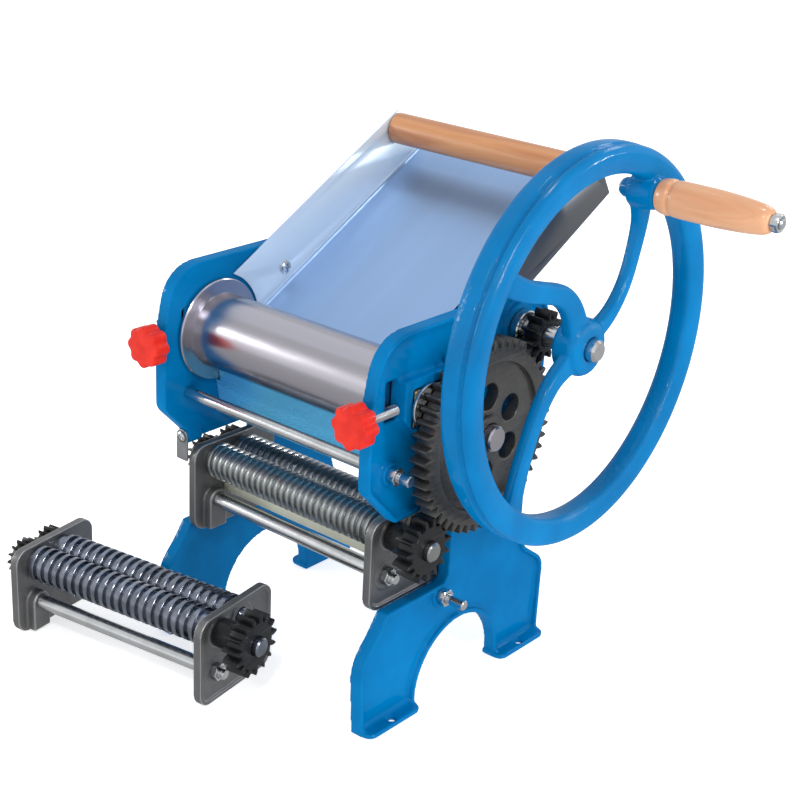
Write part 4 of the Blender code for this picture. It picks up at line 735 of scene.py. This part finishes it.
def makeBushesAndShafts():
    for side, word in sideWords.items():
        for kind, bores in bushes["bores"].items():
            node = word + "_" + kind + "_bush"
            profile = [(side * x, bores[side] + radius) for x, radius in bushes["profile"]]
            mesh = turnedShape(profile, 64, at=axisOf(node))
            placePiece(node + "_ring", mesh, "bush_steel", "frame", [node])
    mesh = turnedShape(driveShaft["profile"], 64, at=axisOf("drive_shaft"))
    placePiece("crank_shaft_bar", mesh, "zinc_bright", "crank", ["drive_shaft"])
    mesh = turnedShape(rearRoll["profile"], 128, at=axisOf("rear_roll"))
    placePiece("rear_press_roll", mesh, "roll_chrome", "rear_roll_set", ["rear_roll"])
    (low, high), front, shaft = spanX("front_roll"), axisOf("front_roll"), frontRoll["shaft"]
    profile = [(low, 0), (low, frontRoll["tip"]), (low + 1, shaft)] + mirrored(frontRoll["flange"])
    mesh = turnedShape(profile + [(high, shaft), (high, 0)], 128, at=front)
    placePiece("front_press_roll", mesh, "roll_chrome", "front_roll_set", ["front_roll"])
    low, high = spanX("front_roll_collar")
    bore, outer, edge = (frontRoll[key] for key in ("bore", "collar", "collarEdge"))
    mesh = turnedShape([(low, bore), (high, bore), (high, outer - edge), (high - edge, outer), (low + edge, outer),
                        (low, outer - edge)], 64, at=front)
    placePiece("front_roll_washer", mesh, "zinc_bright", "front_roll_set", ["front_roll_collar"])
    for word in ("right", "left"):
        node = word + "_bearing_block"
        low, high = machineBox(node)
        half = (high.y - low.y) / 2
        mesh = flatShape([roundedPanel((-half, -half), (half, half), 1, 3), circle((0, 0), bore)], low.x, high.x,
                         0.5, 2, at=axisOf(node))
        placePiece(word + "_brass_block", mesh, "brass_block", "carriage", [node])


makeBushesAndShafts()
print("rolls and shafts turned")


redKnob = {"radius": 16.5, "lobes": 8, "dip": 2.1, "thick": 15.0, "edge": 2.0, "across": 105.5, "screw": 4.0,
           "thread": (1.5, 0.5), "tip": 0.6}


def makeKnobs():
    for side, word in reversed(sideWords.items()):
        low, high = machineBox(word + "_knob")
        at = (side * redKnob["across"], 0, (low.z + high.z) / 2)
        back, screw, tip = low.y + redKnob["thick"], redKnob["screw"], redKnob["tip"]
        outline = []
        for step in range(160):
            turn = 2 * pi * step / 160
            wave = (1 - cos(redKnob["lobes"] * turn)) / 2
            radius = redKnob["radius"] - redKnob["dip"] * wave ** 1.4
            outline.append((radius * cos(turn), radius * sin(turn)))
        head = flatShape([outline], -back, -low.y, redKnob["edge"], 4, turn=facingFront, at=at)
        cap = turnedShape([(-low.y - 2, 0), (-low.y - 2, 8), (-low.y - 0.05, 7), (-low.y, 0)], 48,
                          turn=facingFront, at=at)
        profile = [(-high.y, 0), (-high.y, screw - tip), (-high.y + tip, screw)]
        profile += threadProfile(-high.y + tip, -back - 3, screw, *redKnob["thread"])
        profile += [(-back - 3, screw), (-back + 3, screw), (-back + 3, 0)]
        thread = turnedShape(profile, 40, turn=facingFront, at=at)
        placePiece(word + "_star_knob", joinMeshes([head, cap]), "knob_red", word + "_knob_set",
                   [word + "_knob"], 40)
        placePiece(word + "_knob_screw", thread, "zinc_bright", word + "_knob_set")


makeKnobs()
print("knobs moulded")


# the tray in its own slope: places along the floor and up from it
feedTray = {"angle": 28.5, "start": (5.0, 271.0), "length": 197.0, "lip": 21.6, "wing": 48.0, "outer": 99.2,
            "sheet": 1.0, "bend": 4.0, "topStart": -30.0, "rollClear": 44.5, "screwAt": (14.0, 292.0),
            "screwHole": 2.8, "pinAlong": 179.8, "pinDrop": 13, "pinHole": 4.3, "pinCorner": 15}
doughPin = {"radius": 13, "edge": 1.4, "tenon": 4, "play": 0.6, "marks": (-60, 0, 60)}


def trayPoint(along, up):
    angle = radians(feedTray["angle"])
    y, z = feedTray["start"]
    return (y + along * cos(angle) - up * sin(angle), z + along * sin(angle) + up * cos(angle))


def bentSection(radius):
    # the floor's cross section from one wing to the other, round both bends
    outer, bend = feedTray["outer"], feedTray["bend"]
    return mirrored(arc((bend - outer, bend), -radius, 0, pi / 2, 8))


def makeTray():
    front = axisOf("front_roll")
    lip, length, wing, bend = (feedTray[key] for key in ("lip", "length", "wing", "bend"))
    outer, sheet = feedTray["outer"], feedTray["sheet"]
    # the wings' front edge goes round the front roll
    top = trayPoint(feedTray["topStart"], wing)
    first, last = angleBetween(front, trayPoint(-lip, 0.0)), angleBetween(front, top)
    edge = arc(front, feedTray["rollClear"], first, last, 20)[1:-1]
    # their upper rear corner is rounded about the pin's end
    spot = (feedTray["pinAlong"], wing - feedTray["pinDrop"])
    pin = trayPoint(*spot)
    corner = [trayPoint(*point) for point in arc(spot, feedTray["pinCorner"], radians(60), 0, 10)]
    outline = [trayPoint(-lip, bend)] + edge + [top] + corner + [trayPoint(length, bend)]
    holes = [circle(feedTray["screwAt"], feedTray["screwHole"], 20), circle(pin, feedTray["pinHole"], 32)]
    solids = [flatShape([outline] + holes, side * (outer - sheet), side * outer, 0.2, 1) for side in sideWords]
    angle = radians(feedTray["angle"])
    slope = Matrix(((1, 0, 0), (0, -sin(angle), cos(angle)),
                    (0, cos(angle), sin(angle)))).to_4x4()
    solids.append(flatShape([bentSection(bend) + bentSection(bend - sheet)[::-1]], -lip, length, turn=slope,
                            at=feedTray["start"]))
    tray = placePiece("feed_tray_sheet", joinMeshes(solids), "tray_sheet", "frame", ["feed_tray"], 30)
    # painted reflection: the right wing's outer face gets a darker colour and the left wing's inner face a paler
    # one, in place of the different surroundings they would mirror
    tray.data.materials.append(looks["wing_outside_painted_dark_reflection"])
    tray.data.materials.append(looks["wing_inside_painted_light_reflection"])
    low, high = (corner[0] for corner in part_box("feed_tray"))
    for face in tray.data.polygons:
        if face.center.x > high - 0.0003 and face.normal.x > 0.9:
            face.material_index = 1
        elif face.center.x < low + 0.0015 and face.normal.x > 0.9:
            face.material_index = 2
    half = outer - sheet - doughPin["play"]
    radius, edge, tenon = doughPin["radius"], doughPin["edge"], doughPin["tenon"]
    end = [(half - edge, radius), (half, radius - edge), (half, tenon), (half + tenon, tenon), (half + tenon, 0)]
    profile = [(-x, r) for x, r in reversed(end)] + [(x, radius) for x in doughPin["marks"]] + end
    placePiece("dough_roller_wood", turnedShape(profile, 96, at=pin), "pin_wood", "dough_pin_set",
               ["dough_pin"])


makeTray()
print("tray folded")


def crossHead(radius, height, slotLong, slotWide):
    # a domed screw head along +Z with a cross cut in it
    head = turnedShape([(0, 0), (0, radius), (height * 0.45, radius * 0.96), (height * 0.8, radius * 0.72),
                        (height, radius * 0.35), (height, 0)], 48, turn=Matrix.Identity(4))
    for long, wide in ((slotLong, slotWide), (slotWide, slotLong)):
        head = carve(head, box((-long / 2, -wide / 2, height * 0.4), (long / 2, wide / 2, height + 2)))
    return head


screws = {"trayHead": (5.5, 2.4, 6.4, 1.2), "trayHeadAt": 97.9, "trayStem": 2.5, "trayStemEnd": 110.5,
          "latchHead": (4.8, 2.5, 5.6, 1.1), "latchStem": 2.2, "clipCorner": 1.5, "clipHole": 2.5}


def makeScrews():
    spot, stem = feedTray["screwAt"], screws["trayStem"]
    for side, word in sideWords.items():
        start, end = side * screws["trayHeadAt"], side * screws["trayStemEnd"]
        head = crossHead(*screws["trayHead"])
        turn = Matrix.Rotation(-side * pi / 2, 4, "Y")
        head.transform(Matrix.Translation((start, *spot)) @ turn)
        shank = turnedShape([(start, 0), (start, stem), (end, stem), (end, 0)], 24, at=spot)
        placePiece("tray_" + word + "_cross_screw", joinMeshes([head, shank]), "zinc_bright", "frame",
                   ["tray_" + word + "_screw"])
    (low, high), middle = machineBox("latch_screw"), middleOf("latch_screw")
    head = crossHead(*screws["latchHead"])
    head.transform(Matrix.Translation((middle.x, low.y + 2.5, middle.z)) @ Matrix.Rotation(pi / 2, 4, "X"))
    stem, start = screws["latchStem"], -low.y - 2.4
    shank = turnedShape([(-high.y, 0), (-high.y, stem), (start, stem), (start, 0)], 24, turn=facingFront,
                        at=(middle.x, 0, middle.z))
    placePiece("latch_cross_screw", joinMeshes([head, shank]), "zinc_bright", "frame", ["latch_screw"])
    low, high = machineBox("latch_clip")
    radius, corner = (high.x - low.x) / 2 * 0.98, screws["clipCorner"]
    outline = rounded([(low.x, low.z, corner), (high.x, low.z, corner), (high.x, high.z, radius),
                       (low.x, high.z, radius)], 10)
    hole = circle((middle.x, middle.z), screws["clipHole"], 24)
    mesh = flatShape([outline, hole], -high.y, -low.y, 0.35, 2, turn=facingFront)
    placePiece("latch_tab", mesh, "clip_steel", "latch", ["latch_clip"])


makeScrews()
# the scraper plates take the steel look with the painted blue reflection
for blade in ("front_scraper", "rear_scraper"):
    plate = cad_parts[blade]
    plate.data.materials.clear()
    plate.data.materials.append(looks["blade_sheet_painted_blue_reflection"])
print("screws, latch and blades in")


# the wooden handle's profile in shares of its length and radius
woodHandle = {"length": 91.0, "start": 184.3, "radius": 13.8, "bore": 4.3, "boltHead": 6.2, "bolt": 4.0,
              "threadLength": 8, "threadDepth": 0.4,
              "profile": [(0.0, 0.78), (0.015, 0.90), (0.06, 0.975), (0.10, 0.985), (0.118, 0.93), (0.128, 0.90),
                          (0.14, 0.93), (0.165, 0.985), (0.30, 1.0), (0.48, 1.0), (0.65, 0.96), (0.80, 0.89),
                          (0.90, 0.81), (0.96, 0.72), (0.99, 0.60), (1.0, 0.50)]}


def makeHandle():
    at = axisOf("wooden_handle")
    start, length, bore, head, bolt = (woodHandle[key] for key in ("start", "length", "bore", "boltHead", "bolt"))
    line = smoothLine([(along, share, 0) for along, share in woodHandle["profile"]], 3)
    outer = [(start + point.x * length, min(point.y, 1.0) * woodHandle["radius"]) for point in line]
    grip = turnedShape(outer + [(start + length, bore), (start, bore)], 72, at=at)
    placePiece("handle_grip_wood", grip, "handle_wood", "handle_grip", ["wooden_handle"], 40)
    (low, high), (nutLow, nutHigh) = spanX("handle_bolt"), spanX("handle_nut")
    thread = nutHigh - woodHandle["threadLength"]
    profile = [(low, 0), (low, head - 1), (low + 1, head), (low + 6.5, head), (low + 6.5, bolt), (thread, bolt)]
    profile += threadProfile(thread, high - 0.8, bolt, depth=woodHandle["threadDepth"])
    profile += [(high - 0.8, 3.9), (high, 3), (high, 0)]
    placePiece("handle_bolt_bar", turnedShape(profile, 40, at=at), "zinc_bright", "crank", ["handle_bolt"])
    placePiece("handle_hex_nut", hexNut(at, nutLow, nutHigh, bore), "zinc_bright", "crank", ["handle_nut"])


makeHandle()
print("handle turned")


# a cutter unit, drawn from its front roll's axis
cutterUnit = {
    "inner": 90.0, "outer": 97.0, "centres": 28.0, "low": (-24.0, -58.2), "high": (66.0, 15.8), "corner": 12.0,
    "rim": 3.6, "recess": 1.6, "bore": 7.9, "boss": 13, "rodAt": (-5.0, -32.0), "rodBore": 5.0, "lug": 9,
    "rodTip": [(-106.5, 0), (-106.5, 3.6), (-105.6, 4.4)], "rodThread": (-105.6, -96, 4.4),
    "rodBody": [(-81.7, 4.4), (-81.7, 6)], "nut": (96.1, 101.6), "nutBore": 4.8, "shaft": 7.5, "ridge": 15.0,
    "groove": 12.4, "rollLeft": 109.7, "rollRight": {"front": 137.0, "rear": 98.5}, "voxel": 0.85, "rounds": 3,
}
cutterGears = {
    "bore": 7.8, "driveTeeth": 15, "drive": (117, 132, 0.7, 2),
    "hub": [(97.3, 7.8), (121, 7.8), (121, 11.5), (98.3, 11.5), (97.3, 10.5)],
    "smallModule": 2.0, "smallTeeth": 14, "small": (-108.8, -97.3, 0.4, 1),
}


def ridgedProfile(count, offset, rightEnd, square):
    # a roll with the given number of square or rounded ridges
    half = cutterUnit["inner"] - 0.3
    pitch = 2 * half / (count + 1)
    ridge = pitch / 2 - 0.3
    top, low, shaft, leftEnd = (cutterUnit[key] for key in ("ridge", "groove", "shaft", "rollLeft"))
    if square:
        steps = [(-0.5, low), (-0.5, top - 0.4), (-0.42, top), (0.42, top), (0.5, top - 0.4), (0.5, low)]
    else:
        steps = [(-0.62, low), (-0.5, low + 0.9), (-0.36, top - 0.7), (-0.16, top - 0.08), (0.16, top - 0.08),
                 (0.36, top - 0.7), (0.5, low + 0.9), (0.62, low)]
    profile = [(-leftEnd, 0), (-leftEnd, shaft - 0.8), (-leftEnd + 0.8, shaft), (-half, shaft), (-half, low)]
    for index in range(count):
        middle = -half + pitch * (index + 0.75 + offset / 2)
        profile += [(middle + share * ridge, radius) for share, radius in steps]
    return profile + [(half, low), (half, shaft), (rightEnd - 1.2, shaft), (rightEnd, shaft - 1.2), (rightEnd, 0)]


def plateOutline(inset):
    (y0, z0), (y1, z1) = cutterUnit["low"], cutterUnit["high"]
    return roundedPanel((y0 + inset, z0 + inset), (y1 - inset, z1 - inset), cutterUnit["corner"] - inset, 8)


def plateCasting(side):
    unit = cutterUnit
    (y, z), lug, outer, inner = unit["rodAt"], unit["lug"], unit["outer"], side * unit["inner"]
    axes = ((0, 0), (unit["centres"], 0))
    bores = [circle(at, unit["bore"], 32) for at in axes]
    rodHole = circle((y, z), unit["rodBore"], 24)
    solids = [flatShape([plateOutline(0)] + bores + [rodHole], inner, side * (outer - unit["recess"])),
              flatShape([plateOutline(0), plateOutline(unit["rim"])], inner, side * outer)]
    for at, bore in zip(axes, bores):
        solids.append(flatShape([circle(at, unit["boss"]), bore], inner, side * (outer - 0.4)))
    lugOutline = arc((y, z), lug, 0, pi, 12) + [(y - lug, unit["low"][1] + 2), (y + lug, unit["low"][1] + 2)]
    solids.append(flatShape([lugOutline, rodHole], side * 82, inner, 0.8))
    solids.append(flatShape([circle((y, z), lug + 2, 32), rodHole], inner, side * (outer - 0.9)))
    # the edge attribute carries the painted highlight along the plate rims
    return markEdges(castShape(solids, unit["voxel"], unit["rounds"]), 0.5)


def makeCutter(prefix, count, place, square, rollLook):
    unit, gears = cutterUnit, cutterGears
    for side, word in sideWords.items():
        node = prefix + word + "_plate"
        placePiece(node + "_casting", plateCasting(side), "cast_grey", "frame", [node], 0, place)
    rod = mirrored(unit["rodTip"] + threadProfile(*unit["rodThread"]) + unit["rodBody"])
    placePiece(prefix + "spacer_bar", turnedShape(rod, 40, at=unit["rodAt"]), "zinc_bright", "frame",
               [prefix + "spacer_rod"], place=place)
    for side, word in sideWords.items():
        node = prefix + word + "_nut"
        nut = hexNut(unit["rodAt"], *(side * x for x in unit["nut"]), unit["nutBore"])
        placePiece(node + "_hex", nut, "zinc_bright", "frame", [node], place=place)
    for offset, word in enumerate(("front", "rear")):
        node = prefix + word + "_roll"
        mesh = turnedShape(ridgedProfile(count, offset, unit["rollRight"][word], square), 56,
                           at=(0, offset * unit["centres"], 0))
        placePiece(prefix + word + "_fluted_roll", mesh, rollLook, prefix + word + "_set", [node], place=place)
    bore, teeth = circle((0, 0), gears["bore"]), gears["driveTeeth"]
    direction = angleBetween(axisOf("rear_roll"), axisOf("cutter_drive_gear"))
    outline = gearOutline(mainGear["module"], teeth, meshingPhase(direction, teeth, mainGear["teeth"]), 1.0)
    mesh = joinMeshes([flatShape([outline, bore], *gears["drive"]), turnedShape(gears["hub"], 48)])
    placePiece(prefix + "drive_wheel", mesh, "gear_black", prefix + "front_set", [prefix + "drive_gear"],
               place=place)
    teeth = gears["smallTeeth"]
    for offset, word in enumerate(("front", "rear")):
        outline = gearOutline(gears["smallModule"], teeth, offset * meshingPhase(0.0, teeth, teeth), 0.8)
        mesh = flatShape([outline, bore], *gears["small"], at=(0, offset * unit["centres"], 0))
        placePiece(prefix + word + "_small_wheel", mesh, "gear_black", prefix + word + "_set",
                   [prefix + word + "_gear"], place=place)


mountedPlace = Matrix.Translation((0, *axisOf("cutter_drive_gear")))
makeCutter("cutter_", 28, mountedPlace, False, "fine_roll_steel")
print("mounted cutter built")
sparePlace = Matrix.Translation((-100.0, -161.0, 58.2)) @ Matrix.Rotation(radians(8.5), 4, "Z")
makeCutter("spare_", 21, sparePlace, True, "wide_roll_steel")
print("spare cutter built")

low, high = machineBox("cutter_strip")
strip = flatShape([roundedPanel((low.y, low.z), (high.y, high.z), 0.5, 3)], low.x, high.x, 0.3, 1)
placePiece("cutter_guard_strip", strip, "cream_strip", "frame", ["cutter_strip"])
studio = {
    "floorSize": 20.0, "floorDrop": 0.0002, "paper": 0.86, "glow": 0.60,
    # brightness of the surroundings from straight below to straight above
    "sky": [(0.0, 0.46), (0.44, 0.56), (0.475, 1.0), (0.58, 1.0), (0.71, 0.72), (1.0, 0.62)],
    # each lamp's place, aim, size and power, and its colour where it isn't white
    "lamps": {
        "key": ((0.9, -1.3, 1.7), (0.0, 0.0, 0.2), (0.12, 0.12), 10),
        "fill": ((-1.5, -1.1, 0.75), (0.0, 0.0, 0.25), (0.3, 0.3), 7),
        "side": ((2.0, -0.1, 1.0), (0.0, 0.0, 0.2), (0.14, 0.7), 13),
        "back": ((0.2, 1.6, 1.5), (0.0, 0.0, 0.25), (0.9, 0.3), 5),
        "glint": ((1.5, 1.75, 0.45), (0.1, 0.0, 0.25), (0.10, 0.10), 5),
        "top": ((0.15, 0.25, 2.2), (0.0, 0.05, 0.3), (0.25, 0.25), 6),
        "sky": ((-1.3, 0.25, 2.0), (0.0, 0.1, 0.35), (1.8, 1.8), 3, (0.75, 0.88, 1.0)),
    },
}


def addArea(name, at, aim, size, power, colour=(1, 1, 1)):
    lamp = bpy.data.lights.new(name, "AREA")
    lamp.shape = "RECTANGLE"
    lamp.size, lamp.size_y = size
    lamp.energy = power
    lamp.color = colour
    holder = addObject(name, lamp)
    holder.location = at
    holder.rotation_euler = (Vector(aim) - Vector(at)).to_track_quat("-Z", "Y").to_euler()


def makeFloor():
    work = bmesh.new()
    bmesh.ops.create_grid(work, x_segments=1, y_segments=1, size=studio["floorSize"])
    floor = addObject("studio_floor", newMesh("floor", work))
    paper = newLook("floor_paper", grey(studio["paper"]), 0.7, specular=0.0)
    setInputs(shaderOf(paper), {"Emission Color": (1.0, 1.0, 1.0, 1.0), "Emission Strength": studio["glow"]})
    floor.data.materials.append(paper)
    floor.location.z = -studio["floorDrop"]
    floor.visible_glossy = False  # the paper's glare would wash out the enamel


def makeWorld():
    # white at the horizon, dimmer overhead and below, so that chrome and enamel have something to mirror
    world = bpy.data.worlds.new("studio")
    world.use_nodes = True
    tree = world.node_tree
    place = tree.nodes.new("ShaderNodeTexCoord")
    parts = tree.nodes.new("ShaderNodeSeparateXYZ")
    tree.links.new(place.outputs["Generated"], parts.inputs["Vector"])
    height = tree.nodes.new("ShaderNodeMapRange")
    setInputs(height, {"From Min": -1.0})
    tree.links.new(parts.outputs["Z"], height.inputs["Value"])
    sky = addRamp(world, height.outputs["Result"], [(share, grey(value)) for share, value in studio["sky"]])
    tree.links.new(sky, tree.nodes["Background"].inputs["Color"])
    setInputs(tree.nodes["Background"], {"Strength": 1.0})
    bpy.context.scene.world = world


# the camera as solved from the photo, its place in millimetres from the middle of the feet
photoCamera = {"azimuth": 39.33, "tilt": 22.3, "roll": 2.98, "place": (780.3, -903.0, 700.0),
               "focalPixels": 1636.0, "photoPixels": 800, "sensor": 36.0, "near": 0.05, "far": 40}


def makeCamera():
    azimuth, tilt, roll = (radians(photoCamera[key]) for key in ("azimuth", "tilt", "roll"))
    forward = Vector((-sin(azimuth) * cos(tilt), cos(azimuth) * cos(tilt), -sin(tilt)))
    right = forward.cross(Vector((0, 0, 1))).normalized()
    up = right.cross(forward)
    rolledRight = cos(roll) * right + sin(roll) * up
    rolledUp = -sin(roll) * right + cos(roll) * up
    lens = bpy.data.cameras.new("photo_camera")
    lens.sensor_width = photoCamera["sensor"]
    lens.lens = photoCamera["focalPixels"] / photoCamera["photoPixels"] * photoCamera["sensor"]
    lens.clip_start, lens.clip_end = photoCamera["near"], photoCamera["far"]
    camera = addObject("photo_camera", lens)
    turn = Matrix((rolledRight, rolledUp, -forward)).transposed().to_4x4()
    camera.matrix_world = Matrix.Translation(toFrame @ Vector(photoCamera["place"])) @ turn
    bpy.context.scene.camera = camera


makeFloor()
makeWorld()
for name, values in studio["lamps"].items():
    addArea(name, *values)
makeCamera()
bpy.context.scene.view_settings.view_transform = "Standard"
print("stage set")
